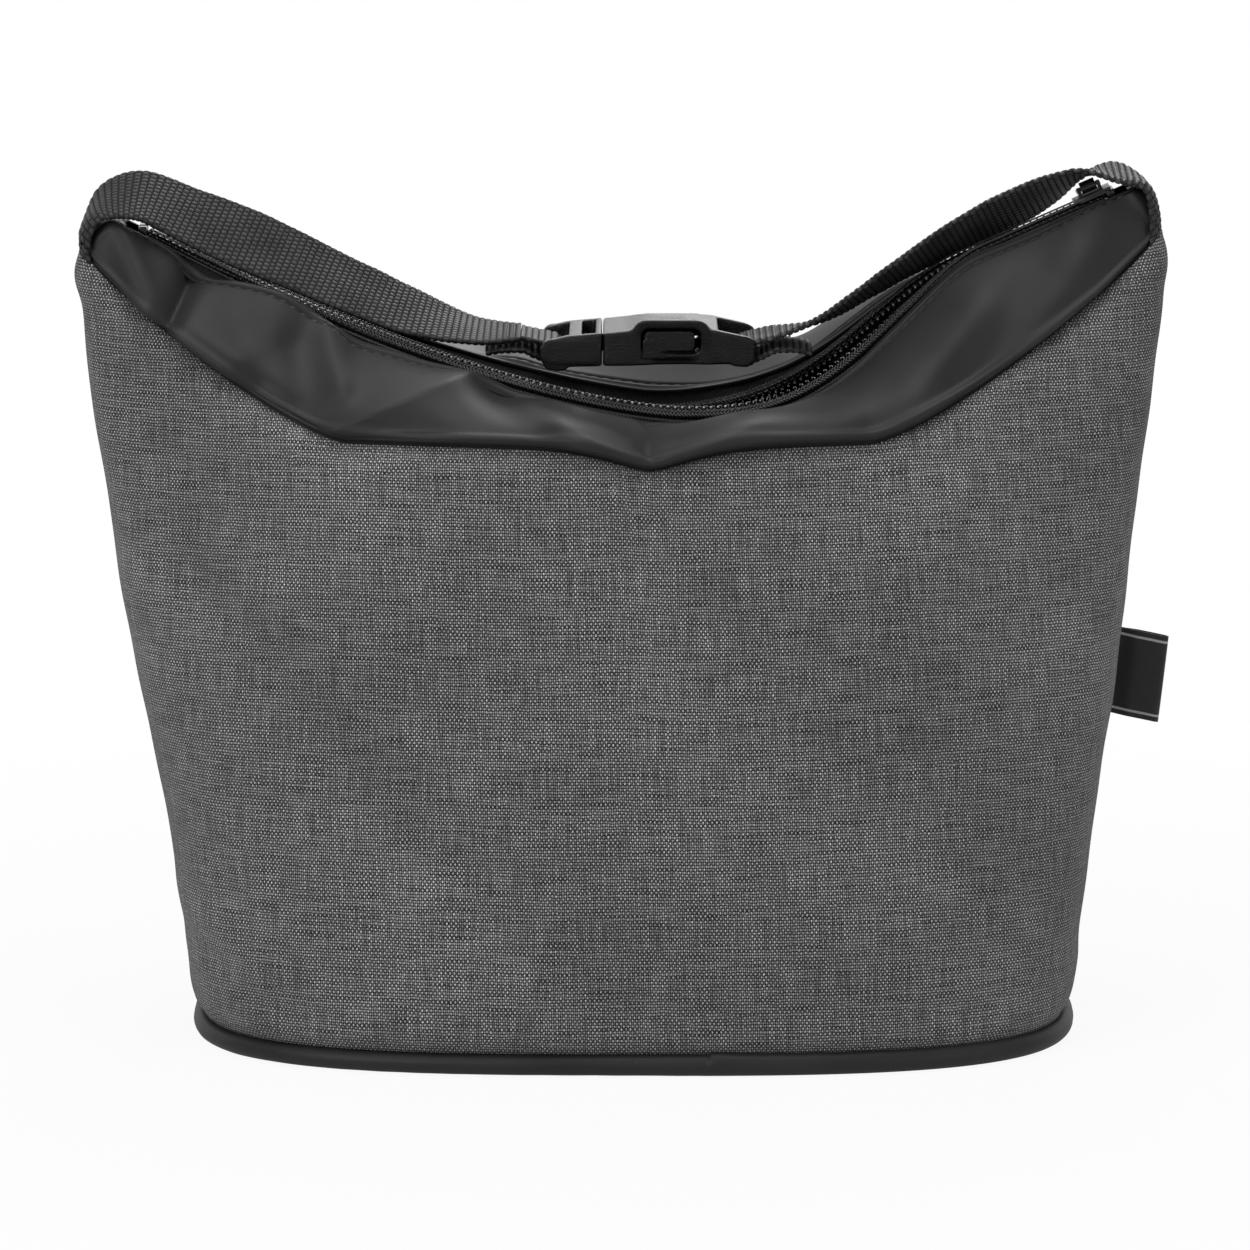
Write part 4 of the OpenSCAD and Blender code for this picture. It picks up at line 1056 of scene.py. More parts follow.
def makeTape(name, side, node):
    # from under the yoke, past its folded edge, then to the coil; it sags a little between
    cols = 321
    t = zipTurns(cols)
    v = np.array([0.86, 0.90, 0.94, 0.975, 1.0])[:, None]
    skin = yokeSkin(np.broadcast_to(v, (5, cols)), np.broadcast_to(t, (5, cols)), side)
    n = surfaceNormals(yokeSkin(np.broadcast_to(np.linspace(0.84, 1, 9)[:, None], (9, cols)),
                                np.broadcast_to(t, (9, cols)), side))
    n = np.stack([n[1], n[3], n[5], n[7], n[8]])
    under = skin - (bag["fabric"] + 0.35) * n
    # it runs on under the legs of the coil
    middle = coilLine(t, side)
    _, inward, up = coilFrames(middle, side, zipX(t))
    edge = middle + 0.5 * inward - (bag["coilHeight"] / 2 + 0.1) * up
    start = middle - 1.9 * inward - (bag["coilHeight"] / 2 + 0.1) * up
    k = np.linspace(0, 1, 9)[1:, None, None]
    sag = -0.5 * np.sin(np.pi * k) * xyz(0, 0, 1 + 0.5 * np.sin(zipX(t) / 4.1))
    free = mix(under[-1], start, k) + sag
    g = np.concatenate([under, free, mix(start, edge, 0.5)[None], edge[None]])
    h = 0.10 * ripple(g[..., 0], g[..., 2] * 2, 81 + side, 9)
    normal = surfaceNormals(g)
    outer = g + (h * np.linspace(0, 1, len(g))[:, None] ** 0.3)[..., None] * normal
    inner = outer - bag["tape"] * normal
    obj = addSheet(name, mirrored(outer, side), mirrored(inner, side), flatSizes(g), "bag",
                   flip=side == back)
    return finishPiece(obj, zipCloth, "zip_tape_black", node)


makeTape("front_zip_cloth", front, "front_zip_tape")
makeTape("back_zip_cloth", back, "back_zip_tape")

# coil of a size 5 zip: one filament wound to a flat loop every 1.64 mm, heads towards the gap
zipper = {"pitch": 1.64, "filament": 0.62, "headBulge": 0.3, "perLoop": 14, "sides": 6}


def makeCoil(name, side, node):
    t = zipTurns(600)
    path, run = evenly(coilLine(t, side), zipper["pitch"] / zipper["perLoop"])
    ahead, inward, up = coilFrames(path, side, path[:, 0])
    turns = 2 * np.pi * run / zipper["pitch"]
    w = bag["coilWidth"] / 2 - zipper["filament"] / 2
    hgt = bag["coilHeight"] / 2 - zipper["filament"] / 2
    c, s = np.cos(turns), np.sin(turns)
    across = w * np.sign(c) * np.abs(c) ** 0.8 + zipper["headBulge"] * np.maximum(0, c) ** 6
    rise = hgt * np.sign(s) * np.abs(s) ** 0.7
    lean = 0.28 * c * zipper["pitch"] * 0.5               # legs of each loop lean, like a herringbone
    wire = path + across[:, None] * inward + rise[:, None] * up + lean[:, None] * ahead
    wd, wside, wup = pathFrames(wire, up=(0.03, 0.02, 1))
    a = np.linspace(0, 2 * np.pi, zipper["sides"], endpoint=False)
    fat = zipper["filament"] / 2 * (1 + 0.4 * np.maximum(0, c) ** 4)
    rings = (wire[:, None] + fat[:, None, None] * (np.cos(a)[None, :, None] * wside[:, None]
                                                   + np.sin(a)[None, :, None] * wup[:, None]))
    body = addTube(name + "Wire", mirrored(rings, side), flip=side == front)
    # filler cord through the loops
    core = path[::6] - 0.15 * inward[::6]
    sd, u = inward[::6], up[::6]
    a = -np.linspace(0, 2 * np.pi, 8, endpoint=False)
    ring = core[:, None] + 0.74 * (1.45 * np.cos(a)[None, :, None] * sd[:, None]
                                   + np.sin(a)[None, :, None] * u[:, None])
    cord = addTube(name + "Core", mirrored(ring, side), flip=side == front)
    return finishPiece(joinAll(name, [body, cord], "bag"), coil, "coil_black", node)


makeCoil("front_coil_row", front, "front_zip_coil")
makeCoil("back_coil_row", back, "back_zip_coil")


def capsule(length, radius, sides=6, rings=7, arch=0.0):
    # stitch seen as a short thread: thick in the middle, ends diving into the cloth
    q = np.linspace(-1, 1, rings)
    r = radius * np.sqrt(np.maximum(0.04, 1 - np.abs(q) ** 3.0))
    a = np.linspace(0, 2 * np.pi, sides, endpoint=False)
    pts = xyz((q * length / 2)[:, None], r[:, None] * np.cos(a),
              r[:, None] * np.sin(a) + arch * (1 - q ** 2)[:, None])
    faces = gridFaces(rings, sides, wrapCols=True).tolist()
    caps = [[0] + [k, k + 1] for k in range(1, sides - 1)]
    last = (rings - 1) * sides
    caps2 = [[last, last + k + 1, last + k] for k in range(1, sides - 1)]
    return pts.reshape(-1, 3), faces, caps + caps2


def makeStitches(name, path, normals, length, pitch, radius, body, sink=0.0, material=None,
                 slotName="binding_black", arch=0.12, slant=0.0):
    # stitches set along a path at even pitch, lying on the surface; slant turns them, in degrees
    _, run = evenly(path, 0.2)
    total = run[-1]
    count = int(total / pitch)
    dist = np.concatenate([[0], np.cumsum(np.linalg.norm(np.diff(path, axis=0), axis=1))])
    at = (np.arange(count) + 0.5) * pitch
    place = np.stack([np.interp(at, dist, path[:, k]) for k in range(3)], axis=1)
    n = unit(np.stack([np.interp(at, dist, normals[:, k]) for k in range(3)], axis=1))
    ahead = np.stack([np.interp(at + 0.4, dist, path[:, k])
                      - np.interp(at - 0.4, dist, path[:, k]) for k in range(3)], axis=1)
    ahead = unit(ahead)
    n = unit(n - np.sum(n * ahead, axis=1, keepdims=True) * ahead)
    c, s = np.cos(np.radians(slant)), np.sin(np.radians(slant))
    ahead = c * ahead + s * np.cross(n, ahead)
    side = np.cross(n, ahead)
    pts, faces, caps = capsule(length, radius, arch=arch)
    axes = np.stack([ahead, side, n], axis=1)
    verts = (place - sink * n)[:, None] + np.einsum("pk,nkx->npx", pts, axes)
    allFaces = []
    for group in (faces, caps):
        g = np.asarray(group)
        allFaces += (g[None] + (np.arange(count) * len(pts))[:, None, None]).reshape(
            -1, g.shape[1]).tolist()
    obj = addMesh(name, verts, allFaces, None, body)
    return finishPiece(obj, material or thread, slotName)


# coil's sewing thread: two rows that cross every loop on the tape side
for side, word in ((front, "front"), (back, "back")):
    t = zipTurns(900)
    # chain stitch in two slanted rows on top of the legs, and one row down their outer side
    middle = coilLine(t, side)
    _, inward, up = coilFrames(middle, side, zipX(t))
    up = mirrored(up, side)
    for k, (out, down, turn) in enumerate(((0.0, 0.0, 38), (0.8, 0.05, -38), (1.7, 1.55, 30))):
        line = mirrored(middle - out * inward, side) + (bag["coilHeight"] / 2 - down) * up
        makeStitches(word + "_coil_stitches_" + str(k + 1), line, up, 1.35, zipper["pitch"] / 2,
                     0.19, "bag", material=chainThreadGlint, slant=turn if side == front else -turn)

    # pale capsules over each head carry the painted highlight of the coil
    heads = mirrored(middle + (bag["coilWidth"] / 2 + 0.02) * inward, side)
    makeStitches(word + "_coil_head_highlights", heads, up, 0.62, zipper["pitch"], 0.31, "bag",
                 material=paintedHeadHighlight, arch=0.0)

# topstitching along the folded edge of both yokes
topstitch = {"pitch": 2.76, "length": 2.2, "radius": 0.33, "v": 0.915}
for side, word in ((front, "front"), (back, "back")):
    cols = 900
    t = np.linspace(np.pi * 0.045, np.pi * 0.955, cols)
    g = yokeSkin(np.broadcast_to(np.array([[0.89], [topstitch["v"]], [0.94]]), (3, cols)),
                 np.broadcast_to(t, (3, cols)), side)
    n = surfaceNormals(g)
    vv, tt = np.full(cols, topstitch["v"]), t
    h = yokeRelief(g[1], vv, tt, side)
    line = g[1] + (h + 0.1)[:, None] * n[1]
    makeStitches(word + "_yoke_topstitch", mirrored(line, side), mirrored(n[1], side),
                 topstitch["length"], topstitch["pitch"], topstitch["radius"], "bag")
print("zip cloth, coils and stitches made")


def smoothedCopy(name, nodes, body, material, slotName, width, segments=3, angle=35):
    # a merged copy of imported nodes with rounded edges
    mesh = bmesh.new()
    for node in nodes:
        mesh.from_mesh(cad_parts[node].data)
    bmesh.ops.remove_doubles(mesh, verts=mesh.verts, dist=1e-6)
    bmesh.ops.dissolve_limit(mesh, angle_limit=np.radians(1.5), verts=mesh.verts,
                             edges=mesh.edges)
    data = bpy.data.meshes.new(name)
    mesh.to_mesh(data)
    mesh.free()
    obj = bpy.data.objects.new(name, data)
    bpy.context.scene.collection.objects.link(obj)
    bevel = obj.modifiers.new("edges", "BEVEL")
    bevel.width, bevel.segments = width * mm, segments
    bevel.limit_method, bevel.angle_limit = "ANGLE", np.radians(angle)
    bevel.harden_normals = False
    data.polygons.foreach_set("use_smooth", np.ones(len(data.polygons), bool))
    data.set_sharp_from_angle(angle=np.radians(40))
    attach(obj, body)
    return finishPiece(obj, material, slotName, *nodes)


smoothedCopy("zip_end_stops", ["zip_stops"], "bag", coil, "coil_black", 0.25)
smoothedCopy("slider_body", ["zip_slider"], "zip_slider", enamel, "slider_black", 0.14)
smoothedCopy("slider_pull", ["zip_pull"], "zip_pull", enamel, "slider_black", 0.16)
print("zip hardware made")


# ---- webbing straps: each half is one woven band, cut where its parts move apart ----
leftEar = np.array([-(halfTop) + bag["topShift"], 0, bag["leftEar"]], float)
rightEar = np.array([halfTop + bag["topShift"], 0, bag["rightEar"]], float)
half, rise = bag["buckleWidth"] / 2, bag["buckleZ"] - 1.4
strap = {"in": bag["fabric"] + bag["strapGap"] + bag["webbingThick"] / 2, "cup": 2.4,
         "loop": 6.6, "loopRise": 3.6, "plugBar": bag["buckleX"] - bag["plugLength"] + 2.6,
         "socketBar": bag["buckleX"] + bag["socketLength"] - 3, "barRadius": 1.3,
         "pick": 1.47, "cells": 14, "relief": 0.34, "leftRoot": 5.5, "rightRoot": 8.3}
leftTop = np.array([leftEar[0] + 15.5, 0, leftEar[2] + bag["leftCrest"], 27, 0])
rightTop = np.array([rightEar[0] - 12, 0, rightEar[2] + bag["rightCrest"], 6, 0])
plugEntry = np.array([strap["plugBar"] - strap["loop"] - 0.4, 0, rise + strap["loopRise"], 2, 0])
socketEntry = np.array([strap["socketBar"] + strap["loop"] + 0.1, 0, rise + strap["loopRise"],
                        -1, 0])


def between(a, b, share, lift, tilt):
    p = mix(a, b, share)
    p[2] += lift
    p[3] = tilt
    return p


leftPath = np.array([
    [leftEar[0] + strap["in"], 0, leftEar[2] - 2.5, 0, strap["cup"]],
    [leftEar[0] + strap["in"] - 0.1, 0, leftEar[2] + 3.5, 2, 0.85 * strap["cup"]],
    [leftEar[0] + 6, 0, leftTop[2] - 1, 17, 0.3 * strap["cup"]],
    leftTop,
    between(leftTop, plugEntry, 0.14, -0.6, 34), between(leftTop, plugEntry, 0.28, -1.4, 38),
    between(leftTop, plugEntry, 0.44, -2.4, 34), between(leftTop, plugEntry, 0.68, -4.3, 26),
    between(leftTop, plugEntry, 0.88, -3.2, 9), plugEntry])
rightPath = np.array([
    [rightEar[0] - strap["in"], 0, rightEar[2] - 2.5, 0, strap["cup"]],
    [rightEar[0] - strap["in"] - 0.5, 0, rightEar[2] + 3.5, 0, 0.85 * strap["cup"]],
    [rightEar[0] - 5.4, 0, rightTop[2] - 2.2, 0, 0.3 * strap["cup"]],
    rightTop,
    between(rightTop, socketEntry, 0.1, 3.2, -12), between(rightTop, socketEntry, 0.19, 3.2, -27),
    between(rightTop, socketEntry, 0.33, 2.7, -34), between(rightTop, socketEntry, 0.46, 2.4, -30),
    between(rightTop, socketEntry, 0.63, 0.9, -22),
    between(rightTop, socketEntry, 0.86, -1.8, -11), socketEntry])


def bandFrames(path, first, last, step, sense):
    # centre line, width direction, normal and cup along a path of points, even steps
    k = np.linspace(first, last, 1200)
    p = through(path, k)
    run = np.concatenate([[0], np.cumsum(np.linalg.norm(np.diff(p[:, :3], axis=0), axis=1))])
    count = max(3, int(run[-1] / step) + 1)
    want = np.linspace(0, run[-1], count)
    p = np.stack([np.interp(want, run, p[:, a]) for a in range(5)], axis=1)
    ahead = unit(np.gradient(p[:, :3], axis=0)) * sense
    level = unit(np.cross([0, 0, 1.0], ahead))
    tilt = np.radians(p[:, 3])[:, None]
    across = level * np.cos(tilt) + np.array([0, 0, 1.0]) * np.sin(tilt)
    w = unit(across - ahead * np.sum(across * ahead, axis=1, keepdims=True))
    return p[:, :3], w, np.cross(ahead, w) * sense, p[:, 4], want


def ribHeight(u, v, width):
    # plain-woven picks: rows of raised cells, each row shifted half a cell from the next
    row = np.floor(u / strap["pick"])
    du = u / strap["pick"] - row - 0.5
    cell = width / strap["cells"]
    shift = 0.5 * (row % 2)
    dv = v / cell + shift
    dv = dv - np.floor(dv) - 0.5
    return (1 - (2 * du) ** 4) * (1 - 0.8 * (2 * dv) ** 4)


def makeBand(name, centre, w, n, cup, run, sense, body, start=0.0, perPick=6, perCell=4,
             thin=0.0):
    # closed woven band: cells raised on both faces, round selvedges
    width, thick = bag["webbing"], bag["webbingThick"]
    cols = strap["cells"] * perCell + 1
    s = np.linspace(-1, 1, cols)
    edge = np.sqrt(np.maximum(0, 1 - np.maximum(0, (np.abs(s) - 0.93) / 0.07) ** 2))
    u = (run + start)[:, None] + np.zeros((1, cols))
    v = s[None] * width / 2 + np.zeros((len(run), 1))
    wander = 0.18 * ripple(u, v * 0, 93, 22)
    bend = xyz(sense, 0, -1) * (cup[:, None] * s[None] ** 6)[..., None]
    mid = (centre[:, None] + w[:, None] * (v + wander)[..., None] + bend
           + n[:, None] * (0.10 * ripple(u, v, 95, 14))[..., None])
    h = strap["relief"] * (ribHeight(u, v, width) - 0.75)
    h2 = strap["relief"] * (ribHeight(u + strap["pick"] / 2, v, width) - 0.75)
    top = mid + n[:, None] * ((thick / 2 + h) * edge[None])[..., None]
    low = mid - n[:, None] * ((thick / 2 + h2) * edge[None])[..., None]
    rings = np.concatenate([top, low[:, ::-1]], axis=1)
    uvTop = np.stack([u, v], axis=-1)
    uv = np.concatenate([uvTop, uvTop[:, ::-1]], axis=1)
    return addTube(name, rings, uv, body, flip=sense < 0)


webbingStep = strap["pick"] / 6
leftSplit, rightSplit = strap["leftRoot"], strap["rightRoot"]


def webbingPart(name, path, first, last, sense, node, body=None, start=0.0, extra=0.0):
    band = bandFrames(path, first, last, webbingStep, sense)
    obj = makeBand(name, *band, sense, body, start)
    finishPiece(obj, webbingBlack, "webbing_black", node)
    return obj, band


leftRoot, leftRootBand = webbingPart("left_strap_root", leftPath, 0, leftSplit + 0.02, 1,
                                     "strap_left_root")
leftRun, leftRunBand = webbingPart("left_strap_run", leftPath, leftSplit + 0.001,
                                   len(leftPath) - 1, 1, "strap_left_run",
                                   start=leftRootBand[-1][-1])
rightRoot, rightRootBand = webbingPart("right_strap_root", rightPath, 0, rightSplit + 0.02, -1,
                                       "strap_right_root")
rightRun, rightRunBand = webbingPart("right_strap_run", rightPath, rightSplit + 0.001,
                                     len(rightPath) - 1, -1, "strap_right_run", "handle",
                                     start=rightRootBand[-1][-1])


def metres(p):
    return tuple(float(q) * mm for q in p)


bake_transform(leftRoot)
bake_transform(rightRoot)
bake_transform(leftRun)


def makeLoop(name, barX, sense, node, body):
    # folded end: over the cross bar, round it and back under, where its tail is stitched
    # The line below is in the plane of the band: x away from the bar, z up.
    thick = bag["webbingThick"]
    radius = strap["barRadius"] + 0.1 + thick / 2
    high = strap["loopRise"]
    low = high - 2 * thick - 0.9 + thick / 2 - 0.05
    tail = strap["loop"] + 8.2
    a = np.radians(np.linspace(78, -122, 9))
    bend = np.stack([radius * np.cos(a), radius * np.sin(a)], axis=1)
    line = np.concatenate([[[-strap["loop"] - 0.3, high], [-4.6, high - 0.5]], bend,
                           [[-4.2, low - 1.0], [-strap["loop"], low], [-tail * 0.78, low],
                            [-tail, low - 0.7]]])
    k = np.linspace(0, len(line) - 1, 900)
    p = through(line, k)
    centre = xyz(barX + sense * p[:, 0], 0, rise + p[:, 1])
    centre, run = evenly(centre, webbingStep)
    ahead = unit(np.gradient(centre, axis=0)) * sense
    w = np.broadcast_to([0, 1.0, 0], centre.shape)
    n = np.cross(ahead, w) * sense
    taper = 1 - 0.0 * run
    obj = makeBand(name, centre, w * taper[:, None], n, 0 * run, run, sense, body, 0.4)
    return finishPiece(obj, webbingBlack, "webbing_black", node)


makeLoop("left_strap_fold", strap["plugBar"], 1, "strap_left_loop", "plug")
makeLoop("right_strap_fold", strap["socketBar"], -1, "strap_right_loop", "handle")


def bandStitches(name, band, body, runs, rows, sense, blendArgs=None):
    # boxed bar tack: rows of close stitches across the band
    centre, w, n, cup, run = band
    objs = []
    for k, at in enumerate(runs):
        i = np.argmin(np.abs(run - (at if at >= 0 else run[-1] + at)))
        s = np.linspace(-rows, rows, 60)
        line = centre[i] + w[i] * s[:, None] * bag["webbing"] / 2 + n[i] * (
            bag["webbingThick"] / 2 + 0.12)
        up = np.broadcast_to(n[i], line.shape)
        objs.append(makeStitches(name + str(k), line, up, 1.7, 2.0, 0.24, None, arch=0.1))
    obj = joinAll(name, objs, None)
    finishPiece(obj, thread, "binding_black")
    if blendArgs:
        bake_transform(obj)
    else:
        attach(obj, body)
    return obj


bandStitches("left_strap_tack", leftRunBand, "handle", (-1.4, -3.0), 0.86, 1,
             ("handle", "plug", metres(leftRunBand[0][0]), metres(plugEntry[:3])))
bandStitches("right_strap_tack", rightRunBand, "handle", (-1.4, -3.0), 0.86, -1)
print("webbing made")


# ---- side-release buckle: moulded shells with filleted edges ----
# x runs from the buckle's mouth to the socket's end and z is up from its middle plane
buckle = {"voxel": 0.29, "rounds": 15, "rimX": (6.7, 24.7), "rimZ": (-2.1, 6.9), "farRimTop": 4.9,
          "windowX": (8.9, 22.3), "windowZ": (-0.9, 5.0), "padStart": 9.6, "padEnd": 21.0,
          "parting": 0.16}
buckleX, buckleZ = bag["buckleX"], bag["buckleZ"]


def stadium(x0, x1, z0, z1, r, steps=10):
    a = np.linspace(0, np.pi / 2, steps)
    corner = lambda cx, cz, q: np.c_[cx + r * np.cos(a + q), cz + r * np.sin(a + q)]
    return np.concatenate([corner(x1 - r, z1 - r, 0), corner(x0 + r, z1 - r, np.pi / 2),
                           corner(x0 + r, z0 + r, np.pi), corner(x1 - r, z0 + r, 3 * np.pi / 2)])


def prismY(name, outline, y0, y1):
    n = len(outline)
    place = lambda y: np.c_[outline[:, 0] + buckleX, np.full(n, y), outline[:, 1] + buckleZ]
    low, high = sorted((y0, y1))
    faces = [list(range(n)), list(range(2 * n - 1, n - 1, -1))]
    faces += [[(i + 1) % n, i, n + i, n + (i + 1) % n] for i in range(n)]
    return addMesh(name, np.concatenate([place(low), place(high)]), faces)


def ringY(name, outer, inner, y0, y1, lean=0.0):
    # ring between two outlines of the same count; its face leans in towards the bottom
    n = len(outer)
    low, high = sorted((y0, y1))
    rows = [(outer, low), (outer, high), (inner, high), (inner, low)]
    face = lambda o, y: y - lean * np.sign(y1) * (outer[:, 1].max() - o[:, 1]) * (y == y1)
    rings = np.stack([np.c_[o[:, 0] + buckleX, face(o, y), o[:, 1] + buckleZ] for o, y in rows])
    return addMesh(name, rings, gridFaces(4, n, wrapRows=True, wrapCols=True).tolist())


def mergedCopy(name, node):
    mesh = bmesh.new()
    mesh.from_mesh(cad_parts[node].data)
    bmesh.ops.remove_doubles(mesh, verts=mesh.verts, dist=1e-6)
    data = bpy.data.meshes.new(name)
    mesh.to_mesh(data)
    mesh.free()
    obj = bpy.data.objects.new(name, data)
    bpy.context.scene.collection.objects.link(obj)
    return obj


def cutBy(obj, tool):
    cut = obj.modifiers.new("cut", "BOOLEAN")
    cut.operation, cut.object, cut.solver = "DIFFERENCE", tool, "EXACT"
    applied(obj)
    bpy.data.objects.remove(tool)


def applied(obj):  # modifiers become part of the mesh
    graph = bpy.context.evaluated_depsgraph_get()
    data = bpy.data.meshes.new_from_object(obj.evaluated_get(graph))
    obj.modifiers.clear()
    obj.data = data


def filleted(obj, voxel, rounds):
    # a voxel skin over the joined solids, then smoothing, leaves moulded fillets
    skin = obj.modifiers.new("skin", "REMESH")
    skin.mode, skin.voxel_size, skin.use_smooth_shade = "VOXEL", voxel * mm, True
    soften = obj.modifiers.new("soften", "SMOOTH")
    soften.factor, soften.iterations = 0.5, rounds
    applied(obj)
    obj.data.polygons.foreach_set("use_smooth", np.ones(len(obj.data.polygons), bool))


socketPlan = np.array([(0.1, 13.4), (0.7, 14), (6, 14), (8.7, 13.7), (12.7, 12.4), (19.5, 12.4),
                       (23.5, 13.4), (31, 13.1), (34.5, 12), (36, 9.5)])


def partingRidge(name, line, sign):
    # fine flash line where the two halves of the mould met
    path = xyz(line[:, 0] + buckleX, sign * line[:, 1], line[:, 2] + buckleZ)
    _, side, up = pathFrames(path)
    a = np.linspace(0, 2 * np.pi, 8, endpoint=False)
    rings = path[:, None] + buckle["parting"] * (np.cos(a)[None, :, None] * side[:, None]
                                                 + np.sin(a)[None, :, None] * up[:, None])
    return addTube(name, rings)


def makeSocket():
    shell = mergedCopy("socketShell", "buckle_socket")
    parts = [shell]
    for sign in (-1, 1):
        # the far rim is lower, and its window with it
        top = buckle["rimZ"][1] if sign < 0 else buckle["farRimTop"]
        rim = stadium(*buckle["rimX"], buckle["rimZ"][0], top, 3.4)
        window = stadium(*buckle["windowX"], buckle["windowZ"][0], top - 2.1, 1.8)
        cutBy(shell, prismY("opening", window, sign * 10.9, sign * 30))
        parts.append(ringY("rim", rim, window, sign * 11.0, sign * 14.4, 0.16))
        # rim's brow leans back onto the crowned top
        brow = stadium(8.6, 22.8, top - 2.2, top - 0.3, 0.9)
        parts.append(prismY("brow", brow, sign * 11.0, sign * 12.8))
    body = joinAll("socket_shell", parts)
    filleted(body, buckle["voxel"], buckle["rounds"])
    ridges = []
    for sign in (-1, 1):
        x = np.concatenate([np.linspace(0.4, 6.4, 12), np.linspace(25.2, 35.2, 20)])
        for k, (a, b) in enumerate(((0, 12), (12, 32))):
            xs = x[a:b]
            z = 1.3 - 0.6 * smooth((xs - 25) / 3) + 0.5 * np.sin(xs / 3.0) * (xs > 20)
            y = np.interp(xs, socketPlan[:, 0], socketPlan[:, 1]) - 0.12
            ridges.append(partingRidge("ridge", np.c_[xs, y, z], sign))
    obj = joinAll("socket_shell_moulded", [body] + ridges, "handle")
    obj.data.polygons.foreach_set("use_smooth", np.ones(len(obj.data.polygons), bool))
    return finishPiece(obj, plastic, "buckle_black", "buckle_socket")


def makePlug():
    body = mergedCopy("plug_frame", "buckle_plug")
    # full rounded nose over the webbing bar's cheeks
    parts = [body]
    for sign in (-1, 1):
        cheek = stadium(-14.0, -0.4, -3.0, 2.5, 2.6)
        parts.append(prismY("cheek", cheek, sign * 12.4, sign * 14.25))
    body = joinAll("plug_frame_moulded", parts)
    filleted(body, buckle["voxel"], buckle["rounds"])
    ridges = []
    for sign in (-1, 1):
        x = np.linspace(-13.2, -0.5, 30)
        z = 1.9 - 1.5 * smooth((-x - 7) / 3.5)
        ridges.append(partingRidge("ridge", np.c_[x, np.full(30, 14.14), z], sign))
    obj = joinAll("plug_frame_with_ridge", [body] + ridges, "plug")
    obj.data.polygons.foreach_set("use_smooth", np.ones(len(obj.data.polygons), bool))
    return finishPiece(obj, plastic, "buckle_black", "buckle_plug")


def makeArm(name, node, body, sign):
    arm = mergedCopy(name, node)
    top = buckle["rimZ"][1] if sign < 0 else buckle["farRimTop"]
    pad = stadium(buckle["padStart"], buckle["padEnd"], buckle["windowZ"][0] + 0.5,
                  top - 2.6, 1.2)
    padPart = prismY("pad", pad, sign * 10.6, sign * 13.3)
    obj = joinAll(name + "_moulded", [arm, padPart])
    filleted(obj, 0.22, 6)
    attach(obj, body)
    return finishPiece(obj, plastic, "buckle_black", node)


makeSocket()
makePlug()
makeArm("front_arm", "plug_arm_front", "arm_front", -1)
makeArm("back_arm", "plug_arm_back", "arm_back", 1)
print("buckle made")


# ---- side label: a folded ribbon sewn into the right seam ----
def makeLabel():
    v = (label["z"] - wallFoot) / (bag["rightEar"] - wallFoot)
    root = wallSkin(np.array(v), np.array(np.pi), front)
    r = label["gap"] / 2 + label["thick"] / 2
    x0, x1 = 0.35, label["reach"] - r
    a = np.linspace(-np.pi / 2, np.pi / 2, 17)
    side = np.linspace(0, 1, 30)
    line = np.concatenate([np.c_[mix(x0, x1, side), -r * smooth(side * 2.2)],
                           np.c_[x1 + r * np.cos(a[1:-1]), r * np.sin(a[1:-1])],
                           np.c_[mix(x1, x0, side), r * smooth((1 - side) * 2.2)]])
    along = np.concatenate([[0], np.cumsum(np.linalg.norm(np.diff(line, axis=0), axis=1))])
    d = unit(np.gradient(line, axis=0))
    out = np.stack([d[:, 1], -d[:, 0]], axis=1)
    h = np.linspace(-1, 1, 41) * label["height"] / 2
    place = lambda off: np.stack(np.broadcast_arrays(
        (line[:, 0] + off * out[:, 0])[None] + label["lean"] * h[:, None],
        (line[:, 1] + off * out[:, 1])[None] + 0 * h[:, None],
        h[:, None] - label["sag"] * line[:, 0][None]), axis=-1)
    curl = 0.5 * np.sin(line[:, 0] / 5.0)[None] * (h / 10)[:, None] ** 2
    g = place(label["thick"] / 2)
    g2 = place(-label["thick"] / 2)
    for grid in (g, g2):
        grid += root + np.array([0, 0, label["z"] - root[2]])
        grid[..., 1] += curl
    uv = np.stack(np.broadcast_arrays(along[None], h[:, None]), axis=-1)
    obj = addSheet("folded_side_label", g, g2, uv, "bag", flip=True)
    return finishPiece(obj, ribbon, "label_black", "side_label")


makeLabel()


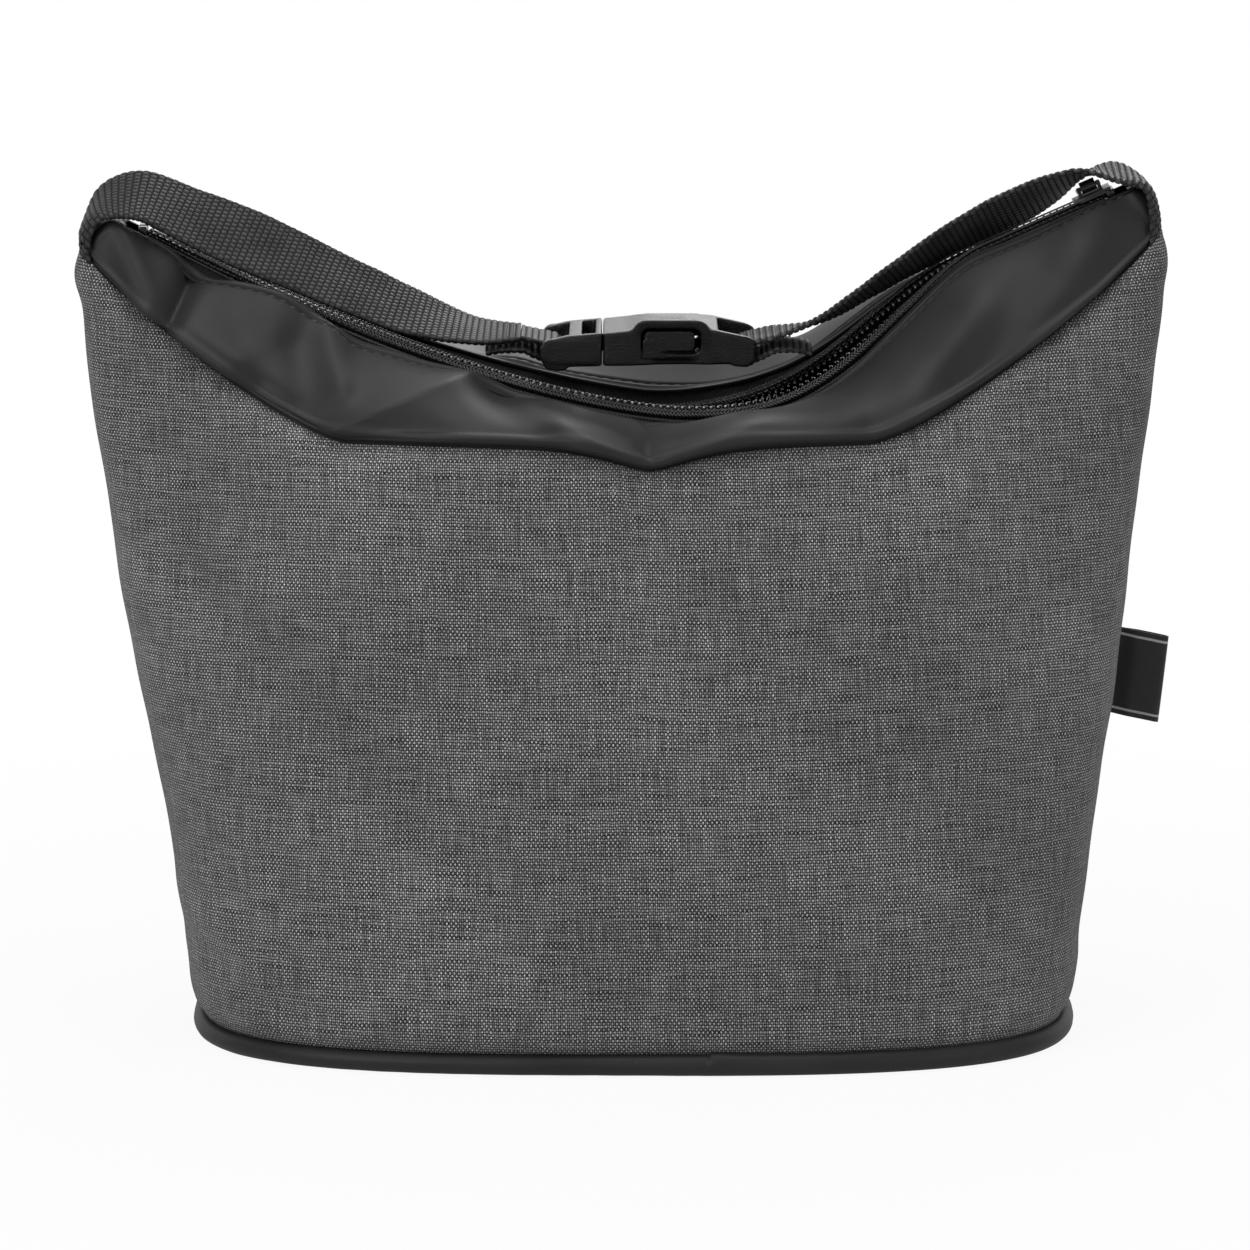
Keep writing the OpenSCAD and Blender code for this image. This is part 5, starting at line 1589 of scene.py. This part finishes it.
# ---- studio ----
def makeStage():
    mesh = bpy.data.meshes.new("floor")
    mesh.from_pydata([(-6, -6, 0), (6, -6, 0), (6, 6, 0), (-6, 6, 0)], [], [(0, 1, 2, 3)])
    floor = bpy.data.objects.new("floor", mesh)
    bpy.context.scene.collection.objects.link(floor)
    material, tree, shader = newMaterial("studio_floor", "#c6c6c6", 0.9, Specular_IOR_Level=0.1)
    # the camera sees it nearly white; near the bag it keeps a little of the shadow
    place = addNode(tree, "TexCoord").outputs["Object"]
    away = addNode(tree, "VectorMath", {"operation": "LENGTH"}, Vector=place).outputs["Value"]
    clear = toRange(tree, away, 0.93, 1.0, 0.12, 0.4)
    rays = addNode(tree, "LightPath").outputs
    # mirrored, it is white behind the bag and dims in front like the room
    y = addNode(tree, "SeparateXYZ", {}, Vector=place).outputs["Y"]
    mirror = calc(tree, "MULTIPLY", rays["Is Glossy Ray"], toRange(tree, y, 0.1, 1.0, -0.2, 0.2))
    seen = calc(tree, "MAXIMUM", rays["Is Camera Ray"], calc(
        tree, "MAXIMUM", mirror, rays["Is Transmission Ray"]))
    glow = addNode(tree, "Emission", {}, Color=(1, 1, 1, 1), Strength=1.0)
    both = addNode(tree, "MixShader", {}, _0=calc(tree, "MULTIPLY", seen, clear),
                   _1=shader.outputs[0], _2=glow.outputs[0])
    tree.links.new(both.outputs[0], tree.nodes["Material Output"].inputs[0])
    mesh.materials.append(material)
    floor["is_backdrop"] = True

    world = bpy.data.worlds.new("studio")
    bpy.context.scene.world = world
    world.use_nodes = True
    tree = world.node_tree
    tree.nodes.clear()
    # soft sky: brightest overhead, dimmer towards the horizon
    place = addNode(tree, "TexCoord").outputs["Generated"]
    z = addNode(tree, "SeparateXYZ", {}, Vector=place).outputs["Z"]
    glow = toRange(tree, z, studio["horizon"], studio["zenith"], -0.2, 0.9)
    soft = addNode(tree, "Background", {}, Color=(1, 1, 1, 1), Strength=glow)
    # what is seen of it, straight or mirrored: white behind the bag, a dimmer room in front
    y = addNode(tree, "SeparateXYZ", {}, Vector=place).outputs["Y"]
    rays = addNode(tree, "LightPath").outputs
    room = toRange(tree, y, studio["room"], 1.0, -0.1, 0.45)
    white = addNode(tree, "Background", {}, Color=(1, 1, 1, 1), Strength=calc(
        tree, "MAXIMUM", room, rays["Is Camera Ray"]))
    seen = calc(tree, "MAXIMUM", rays["Is Camera Ray"], calc(
        tree, "MAXIMUM", rays["Is Glossy Ray"], rays["Is Transmission Ray"]))
    both = addNode(tree, "MixShader", {}, _0=seen, _1=soft.outputs[0], _2=white.outputs[0])
    out = addNode(tree, "OutputWorld")
    tree.links.new(both.outputs[0], out.inputs[0])


studio = {"horizon": 0.2, "zenith": 0.58, "room": 0.1,
          "top": (3.4, 0.55, (0, -0.1, 1.0)), "key": (8, 0.7, (-0.7, -1.0, 0.75)),
          "fill": (3, 0.9, (0.9, -0.9, 0.5)), "rim": (3.5, 0.5, (0.2, 0.9, 0.75))}
makeStage()


def aimedAt(place, target):
    from mathutils import Vector
    return (Vector(target) - Vector(place)).to_track_quat("-Z", "Y").to_euler()


for name in ("top", "key", "fill", "rim"):
    power, size, place = studio[name]
    light = bpy.data.lights.new(name + "_light", "AREA")
    light.shape, light.size, light.energy = "DISK", size, power
    lamp = bpy.data.objects.new(name + "_light", light)
    bpy.context.scene.collection.objects.link(lamp)
    lamp.location = place
    lamp.rotation_euler = aimedAt(place, (0, 0, 0.1))
    lamp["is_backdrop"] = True

# camera: a long lens a little above the bag's middle
shot = {"distance": 1.6, "rise": 10.0, "lens": 200.0, "target": (-0.00184, 0, 0.0923)}
cameraData = bpy.data.cameras.new("camera")
cameraData.lens, cameraData.sensor_width = shot["lens"], 36
cameraData.clip_end = 20
camera = bpy.data.objects.new("camera", cameraData)
bpy.context.scene.collection.objects.link(camera)
angle = np.radians(shot["rise"])
camera.location = (shot["target"][0], -shot["distance"] * float(np.cos(angle)),
                   shot["target"][2] + shot["distance"] * float(np.sin(angle)))
camera.rotation_euler = aimedAt(camera.location, shot["target"])
camera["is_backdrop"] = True
bpy.context.scene.camera = camera
bpy.context.scene.view_settings.view_transform = "Standard"

{"cad": cadBox, "visual": [list(corner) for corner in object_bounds()]}
print("stage set")
